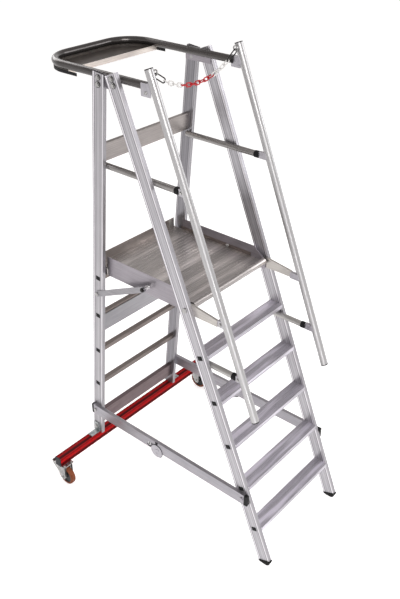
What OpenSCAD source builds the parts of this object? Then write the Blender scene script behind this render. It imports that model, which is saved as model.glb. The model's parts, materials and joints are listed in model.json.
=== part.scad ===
/* [Frame] */
// Clear width between the webs of the two stiles
clear_w = 640; // [570:5:710]
// Depth of a stile from front to back
stile_d = 75; // [68:1:82]
// Width of a stile from inside to outside
stile_w = 20; // [16:1:28]
// Wall of the stile section
stile_wall = 2.5; // [2:0.5:4]
// Width of the raised band along each edge of a stile's outer face
band_w = 10; // [6:1:14]
// Height of the raised bands
band_t = 0.8; // [0.5:0.1:1.2]
// Lean of the front stiles from upright, in degrees
front_lean = 21.9; // [20:0.1:24]
// Lean of the rear stiles from upright, in degrees
rear_lean = 5.8; // [4:0.1:7]
// Gap between the front and rear stiles at the top
apex_gap = 2; // [1.5:0.5:12]
// Height of the fold pivot below the top of the stiles
fold_drop = 54; // [48:1:60]
// Distance from the fold pivot up to the stop bolt
stop_rise = 33; // [28:1:36]

/* [Steps] */
// Height from one tread to the next
step_rise = 240; // [225:1:255]
// Depth of a tread
tread_d = 83; // [72:1:92]
// Distance from a stile's rear edge to the tread's rear edge
tread_in = 6.5; // [0:0.5:12]
// Height of the tread's front and rear lips
tread_lip = 25; // [18:1:32]
// Wall of the tread section
tread_wall = 3; // [2:0.5:4]
// Depth of the grip grooves in a tread
groove_h = 1; // [0.5:0.1:1.5]
// Depth of the wide groove in a tread, front to back
wide_groove_d = 7; // [4:1:10]
// Width of a black plug on a stile
plug_w = 27; // [20:1:34]
// Height of a black plug on a stile
plug_h = 21; // [16:1:28]
// Depth of a step plug's middle below its tread
plug_drop = 23; // [18:1:28]

/* [Feet] */
// Height of a stile's lowest corner above the floor
foot_sole = 11; // [8:1:14]
// Thickness of rubber round the stile's end
foot_wall = 2; // [1:0.5:4]
// Length of the rubber plug inside the stile
foot_plug = 40; // [20:1:60]

/* [Guard rails] */
// Height of the top rail above the platform
rail_rise = 1043; // [1000:1:1100]
// Outside diameter of the top rail
rail_dia = 38; // [30:1:44]
// Height of the stiles' tops above the middle of the top rail
stile_over = 17; // [10:1:24]
// Wall of the top rail and the other tubes
tube_wall = 2.5; // [1.5:0.5:4]
// Distance from the apex to the rear run of the top rail
rail_back = 483; // [440:1:520]
// Bend radius of the top rail's rear corners
rail_bend = 160; // [100:1:190]
// Diameter of the knee rails
knee_dia = 32; // [26:1:36]
// Height of the knee rails above the platform
knee_rise = 594; // [580:1:602]
// Distance from the apex to the rear end of a knee rail
knee_back = 66; // [50:1:72]
// Gap left between the front end of a tube and the handrail's middle
rail_short = 56; // [46:1:64]
// Diameter of the lower stubs
stub_dia = 32; // [26:1:36]
// Height of the lower stubs below the platform
stub_fall = 299; // [290:1:310]
// Diameter of the sloping handrails
hand_dia = 40; // [34:1:44]
// Horizontal distance from a front stile to its handrail
hand_off = 247; // [230:1:260]
// Distance from a stile's web in to the handrail's middle line
hand_in = 4; // [0:0.5:8]
// Height of a handrail's top above the stiles' tops
hand_over = 63; // [50:1:80]
// Height of a handrail's lower end above the floor
hand_low = 940; // [900:5:1000]
// Thickness of a handrail's end cap
cap_t = 5; // [3:1:8]
// Height of a handrail bracket
bracket_h = 34; // [26:1:40]
// Thickness of a handrail bracket
bracket_t = 20; // [12:1:24]

/* [Tray] */
// Distance from the apex to the tray's front lip
tray_front = 280; // [250:1:310]
// Depth of the tray below the middle of the top rail
tray_drop = 38; // [34:1:46]
// Wall of the tray
tray_wall = 3; // [2:0.5:4]
// Height of the tray's front lip
tray_lip_h = 26; // [16:1:30]
// Height of the edging round the tray
edging_h = 15; // [10:1:17]
// Thickness of the edging round the tray
edging_t = 3; // [2:0.5:5]
// Length of the edging ahead of the tray's front lip
edging_over = 60; // [0:1:80]
// Distance of the tray's outer wall beyond the rail's middle line
tray_over = 8; // [5:0.5:10]
// Thickness of a head plate
head_t = 4; // [3:0.5:6]
// Height of a head plate
head_h = 44; // [40:1:50]
// Length of a head plate from front to back
head_l = 168; // [150:1:180]

/* [Platform] */
// Room between a platform arm and the platform's side plate
deck_room = 2.9; // [1:0.1:12]
// Distance from the apex to the rear end of the deck
deck_back = 174; // [160:1:180]
// Thickness of the deck
deck_t = 6; // [5:0.5:8]
// Depth of the grooves in the deck
deck_rib = 1.5; // [1:0.5:2.5]
// Distance from one deck groove to the next
deck_pitch = 24; // [20:1:32]
// Height of the side plates above the deck
side_up = 67; // [56:1:74]
// Height of the toe board above the deck
toe_up = 54; // [46:1:60]
// Height of the side plates below the deck
side_down = 48; // [42:1:54]
// Thickness of the side plates and the toe board
side_t = 3; // [2:0.5:5]
// Width of the flange along a side plate's inner foot
side_flange = 22; // [14:1:26]
// Distance from the apex to the rear end of a side plate
side_back = 104; // [96:1:116]
// Length of the slope at a side plate's front end
side_slope = 80; // [60:1:100]
// Diameter of the rounded nosing
nosing_dia = 38; // [30:1:44]
// Length over which the nosing stands clear of each side plate
nosing_in = 5; // [3:0.5:10]
// Height of the platform's pivot below the deck
pivot_drop = 17; // [12:1:24]
// Thickness of a platform arm
arm_t = 12; // [8:1:16]
// Height of a platform arm at the stile
arm_h = 60; // [50:1:66]
// Height of a platform arm at its front end
arm_tip = 36; // [30:1:44]
// Distance from a stile's middle line to the arm's front end
arm_l = 190; // [180:1:196]

/* [Rear frame] */
// Size of a rung's square tube
rung_d = 28; // [24:1:34]
// Distance from the deck to the middle of the top rung
rung_fall = 69; // [62:1:74]
// Distance from one rung to the next
rung_pitch = 252; // [240:1:260]
// Height of the cross plate below its rung
cross_h = 100; // [80:1:120]
// Thickness of the cross plate
cross_t = 4; // [3:0.5:6]
// Height of the back board
board_h = 94; // [80:1:100]
// Thickness of the back board
board_t = 20; // [14:1:26]
// Gap between the knee rails and the back board
board_clear = 3; // [2:0.5:10]
// Height of the lower crossbar
crossbar_h = 94; // [80:1:104]
// Depth of the lower crossbar
crossbar_d = 28; // [20:1:34]
// Height of the lower crossbar's middle above the floor
crossbar_z = 331; // [320:1:345]

/* [Links and spreaders] */
// Thickness of a platform link
link_t = 6; // [4:0.5:8]
// Height of a platform link
link_h = 33; // [28:1:40]
// Diameter of the pin between a link and the platform
pin_dia = 16; // [12:1:18]
// Height of a link's rear pivot above the floor
link_z = 1270; // [1260:1:1280]
// Distance from the apex to a link's front pin
link_pin = 197; // [192:1:202]
// Height of a link's front pin below the deck
link_pin_drop = 2; // [0:1:6]
// Thickness of a spreader bar
spread_t = 21; // [16:1:26]
// Height of a spreader bar
spread_h = 66; // [54:1:70]
// Height of the spreaders' end pivots above the floor
spread_z = 410; // [402:1:418]
// Distance from the apex to the spreaders' middle hinge
hinge_y = 265; // [255:1:275]
// Depth of the middle hinge below the line of the bars
hinge_drop = 40; // [36:1:46]
// Radius of the hinge discs
hinge_r = 26; // [20:1:28]
// Length of a spreader bar beyond its pivot
spread_tail = 24; // [20:1:32]

/* [Base bar and castors] */
// Height of the base bar
bar_h = 60; // [50:1:70]
// Depth of the base bar
bar_d = 42; // [36:1:50]
// Half the length of the base bar
bar_half = 665; // [640:5:690]
// Thickness of an end cap on the base bar
bar_cap_t = 6; // [4:1:10]
// Depth of the grooves along the base bar
bar_groove = 2; // [1:0.5:3]
// Wall of the base bar
bar_wall = 4.5; // [4:0.5:6]
// Diameter of a castor wheel
wheel_dia = 125; // [110:1:128]
// Width of a castor wheel
wheel_w = 32; // [26:1:38]
// Thickness of a castor's tyre
tyre_t = 14; // [10:1:18]
// Gap between a wheel and the crown of its fork
wheel_gap = 11.7; // [8:0.1:16]
// Distance of the wheel's axle ahead of the swivel
castor_trail = 18; // [10:1:24]
// Length of a castor's top plate
plate_l = 92; // [80:1:105]
// Width of a castor's top plate
plate_w = 76; // [66:1:85]
// Thickness of a castor's top plate
plate_t = 4; // [3:0.5:5]
// Thickness of a fork leg
fork_t = 3; // [2.5:0.5:4]
// Length of the brake pedal
pedal_l = 62; // [50:1:66]
// Width of the brake pedal
pedal_w = 34; // [26:1:44]

/* [Chain] */
// Thickness of a chain link's wire
chain_wire = 6; // [5:0.5:7]
// Inside width of a chain link
chain_in = 12; // [10:0.5:14]
// Sag of the chain at its middle
chain_sag = 95; // [80:1:110]
// Thickness of a quick link's wire
quick_wire = 6; // [5:0.5:7]
// Inside length of a quick link
quick_l = 72; // [60:1:80]
// Inside width of a quick link
quick_in = 16; // [14:0.5:20]
// Depth of the chain's eyes below the handrails' tops
eye_drop = 18; // [16:1:30]

/* [Hidden] */
$fn = 48;

// Clearance between pieces that move past each other
move_gap = 0.3;
// Clearance between pieces that are fixed together at a curved face
fit_gap = 0.1;
// Overrun of a cut past the face that it opens
over = 1;
// Colours of the finishes
alloy = "#c9c9d2";
dull_alloy = "#a8a3a0";
black = "#1c1c1e";
zinc = "#b9b6ae";
red = "#a01820";
orange = "#a05a38";

// Heights and half widths
treads = 5;
deck_z = step_rise * (treads + 1);
rail_z = deck_z + rail_rise;
stile_top = rail_z + stile_over;
web_x = clear_w / 2;
flange_x = web_x + stile_w;
hand_x = web_x - hand_in;
deck_half = web_x - fit_gap - arm_t - deck_room;
rail_r = rail_dia / 2;
knee_r = knee_dia / 2;
stub_r = stub_dia / 2;
hand_r = hand_dia / 2;
rail_x = web_x - move_gap - rail_r;
knee_x = web_x - move_gap - knee_r;
stub_x = web_x - move_gap - stub_r;
knee_z = deck_z + knee_rise;
stub_z = deck_z - stub_fall;

// Castors, stacked from the floor to the underside of the base bar
crown_t = 4;
swivel_h = 10;
crown_z = wheel_dia + wheel_gap;
swivel_top = crown_z + crown_t + swivel_h;
castor_h = swivel_top + move_gap + plate_t;
castor_x = bar_half - plate_w / 2;

// Middle lines of the stiles, in front of and behind the apex
front_half = stile_d / 2 / cos(front_lean);
rear_half = stile_d / 2 / cos(rear_lean);
function front_y(z) = -apex_gap - front_half - (stile_top - z) * tan(front_lean);
function rear_y(z) = rear_half + (stile_top - z) * tan(rear_lean);
function hand_y(z) = front_y(z) - hand_off;

// Outline of a foot's sole, as shares of the stile's depth before and above its middle
sole_shares = [
    [0.60, 0.5], [0.60, 0.10], [0.51, 0.03], [0.41, 0], [-0.06, 0],
    [-0.20, 0.05], [-0.31, 0.15], [-0.38, 0.30], [-0.40, 0.5]
];

// Shift that puts the middle of the part's depth over the origin
toe_y = front_y(0) + stile_d * min([for (point = sole_shares) point[0]]);
apex_y = -(toe_y + rail_back + rail_r) / 2;

// Pivots, as places measured from the apex
fold_z = stile_top - fold_drop;
fold_y = rear_y(fold_z);
pivot_z = deck_z - pivot_drop;
pivot_y = front_y(pivot_z);
link_y = rear_y(link_z);
pin_y = -link_pin;
pin_z = deck_z - link_pin_drop;
spread_rear_y = rear_y(spread_z);
spread_front_y = front_y(spread_z);
mid_y = -hinge_y;
mid_z = spread_z - hinge_drop;
bar_z = castor_h + bar_h / 2;
bar_y = rear_y(bar_z);
bar_top = castor_h + bar_h;

// Bolts
bolt_r = 6;
head_bolt_r = 10;
head_bolt_t = 6;
washer_r = 13;
washer_t = 2;
pivot_bolt_r = 8;
pivot_head_r = 14;
hex_sides = 6;

// Puts a shape at both sides of the part
module both_sides() {
    children();
    mirror([1, 0, 0]) children();
}

// Puts a shape made for the right side at the left
module left_side() {
    mirror([1, 0, 0]) children();
}

// Measures a shape from the apex of the frame
module from_apex() {
    translate([0, apex_y, 0]) children();
}

// Stands a shape on the front stile's middle line at a height
module on_front(z) {
    translate([0, front_y(z), z]) rotate([-front_lean, 0, 0]) children();
}

// Stands a shape on the rear stile's middle line at a height
module on_rear(z) {
    translate([0, rear_y(z), z]) rotate([rear_lean, 0, 0]) children();
}

// Box with its lowest corner given and its size
module block(low, size) {
    translate(low) cube(size);
}

// Cylinder along X from x to x plus its length
module along_x(x, y, z, r, length, sides = $fn) {
    translate([x, y, z]) rotate([0, 90, 0]) cylinder(r = r, h = length, $fn = sides);
}

// Cylinder along Y from y to y plus its length
module along_y(x, y, z, r, length) {
    translate([x, y, z]) rotate([-90, 0, 0]) cylinder(r = r, h = length);
}

// Extrudes an outline drawn in Y and Z along X from x
module side_cut(x, length) {
    translate([x, 0, 0]) rotate([90, 0, 90]) linear_extrude(length) children();
}

// Closed section of a stile with raised bands outside, from its lower to its upper end
stile_groove_share = 0.36;
stile_groove_in_share = 0.3;
stile_groove_w = stile_w * stile_groove_share;
stile_groove_in = stile_wall * stile_groove_in_share;
face_x = flange_x - band_t;
module section(low, high) {
    run = high - low;
    difference() {
        block([web_x, -stile_d / 2, low], [stile_w, stile_d, run]);
        block(
            [web_x + stile_wall, -stile_d / 2 + stile_wall, low - over],
            [stile_w - 2 * stile_wall - band_t, stile_d - 2 * stile_wall, run + 2 * over]
        );
        block([face_x, -stile_d / 2 + band_w, low - over], [stile_w, stile_d - 2 * band_w, run + 2 * over]);
        for (face = [-1, 1])
            translate([web_x + stile_w / 2, face * stile_d / 2, (low + high) / 2])
                cube([stile_groove_w, 2 * stile_groove_in, run + 2 * over], center = true);
    }
}

// Bolt with a washer and a six-sided head, standing outwards from x
module bolt(x, y, z) {
    along_x(x, y, z, washer_r, washer_t);
    along_x(x + washer_t, y, z, head_bolt_r, head_bolt_t, hex_sides);
}

// Front stiles
stile_end = (foot_sole + stile_d / 2 * sin(front_lean)) / cos(front_lean);
stile_rise_share = 0.5;
stile_rise = stile_d / 2 * sin(front_lean) * stile_rise_share;
stile_run = (stile_top + stile_rise) / cos(front_lean);
module front_stile() {
    color(alloy) from_apex() difference() {
        on_front(0) section(stile_end, stile_run);
        along_x(web_x - over, pivot_y, pivot_z, pivot_bolt_r + fit_gap, stile_w + 2 * over);
    }
}
module front_stile_left() { left_side() front_stile(); }
module front_stile_right() { front_stile(); }

// Treads
groove_shares = [0.10, 0.20, 0.30, 0.40, 0.50, 0.76, 0.86];
groove_w = 3;
wide_groove_share = 0.64;
curl_share = 0.4;
tread_curl = tread_lip * curl_share;
module tread_outline() {
    difference() {
        union() {
            translate([0, -tread_wall - groove_h]) square([tread_d, tread_wall + groove_h]);
            translate([0, -tread_lip]) square([tread_wall, tread_lip]);
            translate([0, -tread_lip]) square([tread_curl, tread_wall]);
            translate([tread_d - tread_wall, -tread_lip]) square([tread_wall, tread_lip]);
            translate([tread_d - tread_curl, -tread_lip]) square([tread_curl, tread_wall]);
        }
        for (share = groove_shares)
            translate([share * tread_d - groove_w / 2, -groove_h]) square([groove_w, groove_h + over]);
        translate([wide_groove_share * tread_d - wide_groove_d / 2, -groove_h])
            square([wide_groove_d, groove_h + over]);
    }
}
module tread(level) {
    z = step_rise * level;
    color(alloy) from_apex() translate([0, front_y(z) + front_half - tread_in - tread_d, z])
        side_cut(-web_x, clear_w) tread_outline();
}
module step_1() { tread(1); }
module step_2() { tread(2); }
module step_3() { tread(3); }
module step_4() { tread(4); }
module step_5() { tread(5); }

// Rubber feet with a rounded sole and a plug inside the stile
module foot() {
    outer_w = stile_w + 2 * foot_wall;
    plug_in = stile_wall + fit_gap;
    color(black) from_apex() {
        difference() {
            side_cut(web_x - foot_wall, outer_w)
                polygon([for (point = sole_shares) [front_y(0), 0] + stile_d * point]);
            on_front(0) block([0, -stile_d, stile_end], [2 * web_x, 2 * stile_d, stile_d]);
        }
        on_front(0) block(
            [web_x + plug_in, -stile_d / 2 + plug_in, stile_end],
            [stile_w - 2 * plug_in - band_t, stile_d - 2 * plug_in, foot_plug]
        );
    }
}
module foot_left() { left_side() foot(); }
module foot_right() { foot(); }

// Straight tube along Y, open at both ends
module tube(x, y_low, y_high, z, r) {
    difference() {
        along_y(x, y_low, z, r, y_high - y_low);
        along_y(x, y_low - over, z, r - tube_wall, y_high - y_low + 2 * over);
    }
}

// Sloping handrails
hand_run = (stile_top + hand_over - hand_low) / cos(front_lean);
module on_handrail() {
    translate([hand_x, hand_y(hand_low), hand_low]) rotate([-front_lean, 0, 0]) children();
}
module handrail() {
    color(dull_alloy) from_apex() on_handrail() difference() {
        cylinder(r = hand_r, h = hand_run);
        translate([0, 0, -over]) cylinder(r = hand_r - tube_wall, h = hand_run + 2 * over);
    }
}
module handrail_left() { left_side() handrail(); }
module handrail_right() { handrail(); }

// Brackets from the tube ends and arms to the handrails
rail_end_y = hand_y(rail_z) + rail_short;
knee_end_y = hand_y(knee_z) + rail_short;
stub_end_y = hand_y(stub_z) + rail_short;
arm_end_y = pivot_y - arm_l;
bracket_x = hand_x - hand_r;
module bracket(z, y_end) {
    difference() {
        block([bracket_x, hand_y(z), z - bracket_h / 2], [bracket_t, y_end - cap_t - hand_y(z), bracket_h]);
        on_handrail() translate([0, 0, -hand_run]) cylinder(r = hand_r + fit_gap, h = 3 * hand_run);
        on_handrail() block([-hand_dia, -hand_off, -hand_run], [2 * hand_dia, hand_off, 3 * hand_run]);
    }
}
module rail_brackets() {
    color(alloy) from_apex() both_sides() {
        bracket(rail_z, rail_end_y);
        bracket(knee_z, knee_end_y);
        bracket(arm_tip_z, arm_end_y + cap_t);
        bracket(stub_z, stub_end_y);
    }
}

// Knee rails, fixed to the front stiles
module knee_rails() {
    color(dull_alloy) from_apex() both_sides() tube(knee_x, knee_end_y, knee_back, knee_z, knee_r);
}

// Lower stubs, fixed to the front stiles
module lower_stubs() {
    color(dull_alloy) from_apex() both_sides()
        tube(stub_x, stub_end_y, front_y(stub_z) + front_half, stub_z, stub_r);
}

// Platform arms, carried on the pivot bolts
arm_x = web_x - fit_gap - arm_t;
arm_share = 0.4;
arm_round = arm_h * arm_share;
arm_low = pivot_z - arm_round;
arm_tip_z = arm_low + arm_tip / 2;
module platform_arms() {
    color(alloy) from_apex() both_sides() difference() {
        union() {
            along_x(arm_x, pivot_y, pivot_z, arm_round, arm_t);
            side_cut(arm_x, arm_t) polygon([
                [pivot_y, arm_low],
                [arm_end_y, arm_low],
                [arm_end_y, arm_low + arm_tip],
                [pivot_y - arm_round, arm_low + arm_h],
                [pivot_y, pivot_z + arm_round]
            ]);
        }
        along_x(arm_x - over, pivot_y, pivot_z, pivot_bolt_r + fit_gap, arm_t + 2 * over);
    }
}

// Top rail, one tube bent round the back of the platform
module rail_corners() {
    for (side = [-1, 1]) translate([side * (rail_x - rail_bend), rail_back - rail_bend, rail_z])
        rotate([0, 0, 45 - side * 45]) rotate_extrude(angle = 90) translate([rail_bend, 0]) children();
}
module rail_path(r) {
    for (side = [-1, 1]) along_y(side * rail_x, rail_end_y, rail_z, r, rail_back - rail_bend - rail_end_y);
    rail_corners() circle(r);
    along_x(rail_bend - rail_x, rail_back, rail_z, r, 2 * (rail_x - rail_bend));
}
module top_rail() {
    color(dull_alloy) from_apex() union() {
        for (side = [-1, 1]) tube(side * rail_x, rail_end_y, rail_back - rail_bend, rail_z, rail_r);
        rail_corners() difference() {
            circle(rail_r);
            circle(rail_r - tube_wall);
        }
        rotate([0, 0, -90]) tube(-rail_back, rail_bend - rail_x, rail_x - rail_bend, rail_z, rail_r);
    }
}

// Head plates, bolted to the front stiles and holding the fold pivots
head_x = web_x - move_gap - head_t;
head_top = rail_z - rail_r / 2;
head_back = fold_y + stile_d / 2;
module head_plates() {
    color(alloy) from_apex() both_sides() difference() {
        block([head_x, head_back - head_l, head_top - head_h], [head_t, head_l, head_h]);
        along_y(rail_x, head_back - head_l - over, rail_z, rail_r + fit_gap, head_l + 2 * over);
        along_x(head_x - over, fold_y, fold_z, pivot_bolt_r + move_gap, head_t + 2 * over);
    }
}

// Tray outline, square at the front and round at the rear corners
tray_z = rail_z - tray_drop;
tray_top = rail_z - rail_r + fit_gap;
module tray_outline(beyond, front) {
    half = rail_x + beyond;
    back = rail_back + beyond;
    round_r = rail_bend + beyond;
    intersection() {
        translate([-half, front]) square([2 * half, back - front]);
        union() {
            translate([-half, front]) square([2 * half, back - round_r - front]);
            translate([round_r - half, front]) square([2 * (half - round_r), back - front]);
            for (side = [-1, 1]) translate([side * (half - round_r), back - round_r]) circle(round_r);
        }
    }
}

// Tool tray under the rear of the top rail
module tray() {
    color("#4a4642") from_apex() difference() {
        translate([0, 0, tray_z]) linear_extrude(tray_top - tray_z) tray_outline(tray_over, tray_front);
        translate([0, 0, tray_z + tray_wall]) linear_extrude(tray_drop)
            tray_outline(tray_over - tray_wall, tray_front - over);
        rail_path(rail_r + fit_gap);
    }
}
module tray_lip() {
    half = rail_x + tray_over;
    color(alloy) from_apex()
        difference() {
            block([-half, tray_front - tray_wall, tray_z], [2 * half, tray_wall, tray_lip_h]);
            rail_path(rail_r + fit_gap);
        }
}
module tray_edging() {
    color(black) from_apex() difference() {
        translate([0, 0, tray_z]) linear_extrude(edging_h)
            tray_outline(tray_over + edging_t, tray_front - edging_over);
        translate([0, 0, tray_z - over]) linear_extrude(edging_h + 2 * over)
            tray_outline(tray_over, tray_front - edging_over - over);
    }
}

// Black plugs in the tube ends, on the handrails and on the stiles' outer faces
module end_plug(x, y, z, r) {
    along_y(x, y - cap_t, z, r, cap_t);
    along_y(x, y, z, r - tube_wall - fit_gap, cap_t);
}
module face_plug() {
    block([face_x, -plug_w / 2, -plug_h / 2], [band_t, plug_w, plug_h]);
}
module front_plugs() {
    color(black) from_apex() both_sides() {
        end_plug(rail_x, rail_end_y, rail_z, rail_r);
        end_plug(knee_x, knee_end_y, knee_z, knee_r);
        end_plug(stub_x, stub_end_y, stub_z, stub_r);
        on_handrail() {
            translate([0, 0, hand_run]) cylinder(r = hand_r + fit_gap, h = cap_t);
            translate([0, 0, -cap_t]) cylinder(r = hand_r + fit_gap, h = cap_t);
        }
        for (level = [1:treads])
            on_front(step_rise * level - plug_drop) face_plug();
    }
}

// Bolts of the front frame, the platform's pivots among them
head_bolt_z = stile_top - washer_r;
head_bolt_step = washer_r * 2 + washer_t;
pivot_in = deck_half - side_t - washer_t - move_gap;
module platform_pivot() {
    along_x(face_x, pivot_y, pivot_z, pivot_head_r, head_bolt_t);
    along_x(pivot_in, pivot_y, pivot_z, pivot_bolt_r, face_x - pivot_in);
    along_x(deck_half + move_gap, pivot_y, pivot_z, pivot_head_r, arm_x - deck_half - move_gap);
}
module front_bolts() {
    color(zinc) from_apex() both_sides() {
        platform_pivot();
        bolt(face_x, front_y(head_bolt_z), head_bolt_z);
        bolt(face_x, front_y(head_bolt_z - head_bolt_step), head_bolt_z - head_bolt_step);
    }
}

// Chain run, an arc through the lowest points of both eyes
quick_r = quick_wire / 2;
chain_r = chain_wire / 2;
eye_hole_share = 1.5;
eye_hole_r = quick_wire * eye_hole_share;
eye_wall = 5;
eye_t = 5;
eye_mid_r = eye_hole_r + eye_wall / 2;
eye_z = stile_top + hand_over - eye_drop;
eye_y = hand_y(eye_z);
eye_x = hand_x - hand_r - quick_in / 2 - quick_wire;
chain_z = eye_z - eye_mid_r;
chain_arc = (eye_x * eye_x + chain_sag * chain_sag) / (2 * chain_sag);
chain_turn = asin(eye_x / chain_arc);
chain_half = chain_arc * chain_turn * PI / 180;
quick_at = quick_l / 2 - norm([eye_t, eye_wall]) / 2 - move_gap;
side_link_count = 7;
red_side_count = 3;
chain_span = chain_half - quick_at - quick_l / 2 + (side_link_count + 1) * move_gap;
chain_l = chain_span / (side_link_count + 1 / 2);
chain_pitch = chain_l - move_gap;

// Stands a shape on the chain's arc at a distance from its middle
module on_chain(along) {
    turn = along / chain_arc * 180 / PI;
    translate([0, eye_y, chain_z - chain_sag + chain_arc]) rotate([0, -turn, 0])
        translate([0, 0, -chain_arc]) children();
}

// Oval link lying along X with its flat sides facing Y
module oval(inner_l, inner_w, wire_r) {
    bend = inner_w / 2 + wire_r;
    straight = inner_l - inner_w;
    rotate([90, 0, 0]) for (side = [-1, 1]) {
        translate([0, side * bend, 0]) rotate([0, 90, 0])
            cylinder(r = wire_r, h = straight, center = true, $fn = 16);
        translate([side * straight / 2, 0, 0]) rotate([0, 0, -side * 90])
            rotate_extrude(angle = 180) translate([bend, 0]) circle(wire_r, $fn = 16);
    }
}
module chain_link(index) {
    on_chain(index * chain_pitch) rotate([index % 2 == 0 ? 0 : 90, 0, 0])
        oval(chain_l, chain_in, chain_r);
}
module chain_red() {
    color(red) from_apex() for (index = [-red_side_count:red_side_count]) chain_link(index);
}
module chain_white() {
    color("#ece9e6") from_apex() for (side = [-1, 1]) for (index = [red_side_count + 1:side_link_count])
        chain_link(side * index);
}
module quick_links() {
    color("#6b6a68") from_apex() for (side = [-1, 1])
        on_chain(side * (chain_half - quick_at)) oval(quick_l, quick_in, quick_r);
}

// Round eyes that the chain hangs from, each on a stem from its handrail
module chain_eye() {
    difference() {
        translate([0, eye_y, eye_z]) union() {
            side_cut(eye_x - eye_t / 2, eye_t) difference() {
                circle(eye_hole_r + eye_wall);
                circle(eye_hole_r);
            }
            rotate([-front_lean, 0, 0])
                along_x(eye_x + eye_t / 2, 0, eye_mid_r, eye_wall / 2 - fit_gap, hand_x - eye_x);
        }
        on_handrail() cylinder(r = hand_r + fit_gap, h = hand_run);
    }
}
module chain_eyes() { color(zinc) from_apex() both_sides() chain_eye(); }

// Rear stiles, cut square at the top and level on the base bar
module rear_stile() {
    tall = 2 * stile_top;
    color(alloy) from_apex() difference() {
        on_rear(bar_top) section(-stile_d, (stile_top - bar_top) / cos(rear_lean));
        block([0, -tall, bar_top - tall], [tall, 2 * tall, tall]);
        along_x(web_x - over, fold_y, fold_z, pivot_bolt_r + fit_gap, stile_w + 2 * over);
    }
}
module rear_stile_left() { left_side() rear_stile(); }
module rear_stile_right() { rear_stile(); }

// Rectangular tube from web to web on the rear frame
module rear_tube(z, depth, height) {
    color(dull_alloy) from_apex() on_rear(z) difference() {
        block([-web_x, -depth / 2, -height / 2], [clear_w, depth, height]);
        block(
            [-web_x - over, -depth / 2 + tube_wall, -height / 2 + tube_wall],
            [clear_w + 2 * over, depth - 2 * tube_wall, height - 2 * tube_wall]
        );
    }
}
rungs = 4;
function rung_z(number) = deck_z - rung_fall - (number - 1) * rung_pitch;
module rung(number) { rear_tube(rung_z(number), rung_d, rung_d); }
module rung_1() { rung(1); }
module rung_2() { rung(2); }
module rung_3() { rung(3); }
module rung_4() { rung(4); }
module lower_crossbar() { rear_tube(crossbar_z, crossbar_d, crossbar_h); }
board_z = knee_z + knee_r + board_clear + board_h / 2;
module back_board() { rear_tube(board_z, board_t, board_h); }

// Plate hung on the front of the second rung
module cross_plate() {
    half = rung_d / 2;
    color(alloy) from_apex() on_rear(rung_z(rungs / 2))
        block([-web_x, -half - cross_t, -half - cross_h], [clear_w, cross_t, half + cross_h]);
}
module rear_plugs() {
    color(black) from_apex() both_sides() for (number = [1:rungs])
        on_rear(rung_z(number)) face_plug();
}

// Bolts of the rear frame: fold pivots, stops, link and spreader pivots
module fold_pivot() {
    bolt(face_x, fold_y, fold_z);
    along_x(head_x, fold_y, fold_z, pivot_bolt_r, face_x - head_x);
}
module side_pivot(y, z, bar_t) {
    along_x(face_x, y, z, bolt_r, band_t + bar_t + 2 * move_gap);
    along_x(flange_x + bar_t + 2 * move_gap, y, z, head_bolt_r, head_bolt_t);
}
module rear_bolts() {
    color(zinc) from_apex() both_sides() {
        fold_pivot();
        bolt(face_x, rear_y(fold_z + stop_rise), fold_z + stop_rise);
        side_pivot(link_y, link_z, link_t);
        side_pivot(spread_rear_y, spread_z, spread_t);
        bolt(bracket_end, bar_y, bar_top + foot_up * foot_bolt_share);
    }
}

// Base bar, a grooved tube under the rear stiles
groove_share = 0.14;
module base_bar() {
    groove = groove_share * bar_h;
    hollow_h = bar_h - 2 * bar_wall;
    hollow_d = bar_d - 2 * bar_wall;
    color(red) from_apex() translate([-bar_half, bar_y, bar_z]) difference() {
        block([0, -bar_d / 2, -bar_h / 2], [2 * bar_half, bar_d, bar_h]);
        block([-over, -hollow_d / 2, -hollow_h / 2], [2 * bar_half + 2 * over, hollow_d, hollow_h]);
        for (face = [-1, 1]) for (level = [-1, 0, 1])
            translate([bar_half, face * bar_d / 2, level * 2 * groove])
                cube([2 * bar_half + 2 * over, 2 * bar_groove, groove], center = true);
    }
}
module base_bar_caps() {
    color("#3a3a3d") from_apex() both_sides()
        block([bar_half, bar_y - bar_d / 2, castor_h], [bar_cap_t, bar_d, bar_h]);
}

// Angle brackets between the rear stiles and the base bar
foot_up = 70;
foot_out = 60;
foot_bolt_share = 0.6;
angle_t = 5;
angle_share = 0.9;
bracket_end = flange_x + angle_t;
angle_d = bar_d * angle_share;
module stile_brackets() {
    color(zinc) from_apex() both_sides() {
        block([flange_x, bar_y - angle_d / 2, bar_top], [angle_t, angle_d, foot_up]);
        block([bracket_end, bar_y - angle_d / 2, bar_top], [foot_out, angle_d, angle_t]);
    }
}

// Castor top plates, fixed under the base bar
module castor_plates() {
    color(zinc) from_apex() both_sides() block(
        [castor_x - plate_w / 2, bar_y - plate_l / 2, castor_h - plate_t],
        [plate_w, plate_l, plate_t]
    );
}

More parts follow.
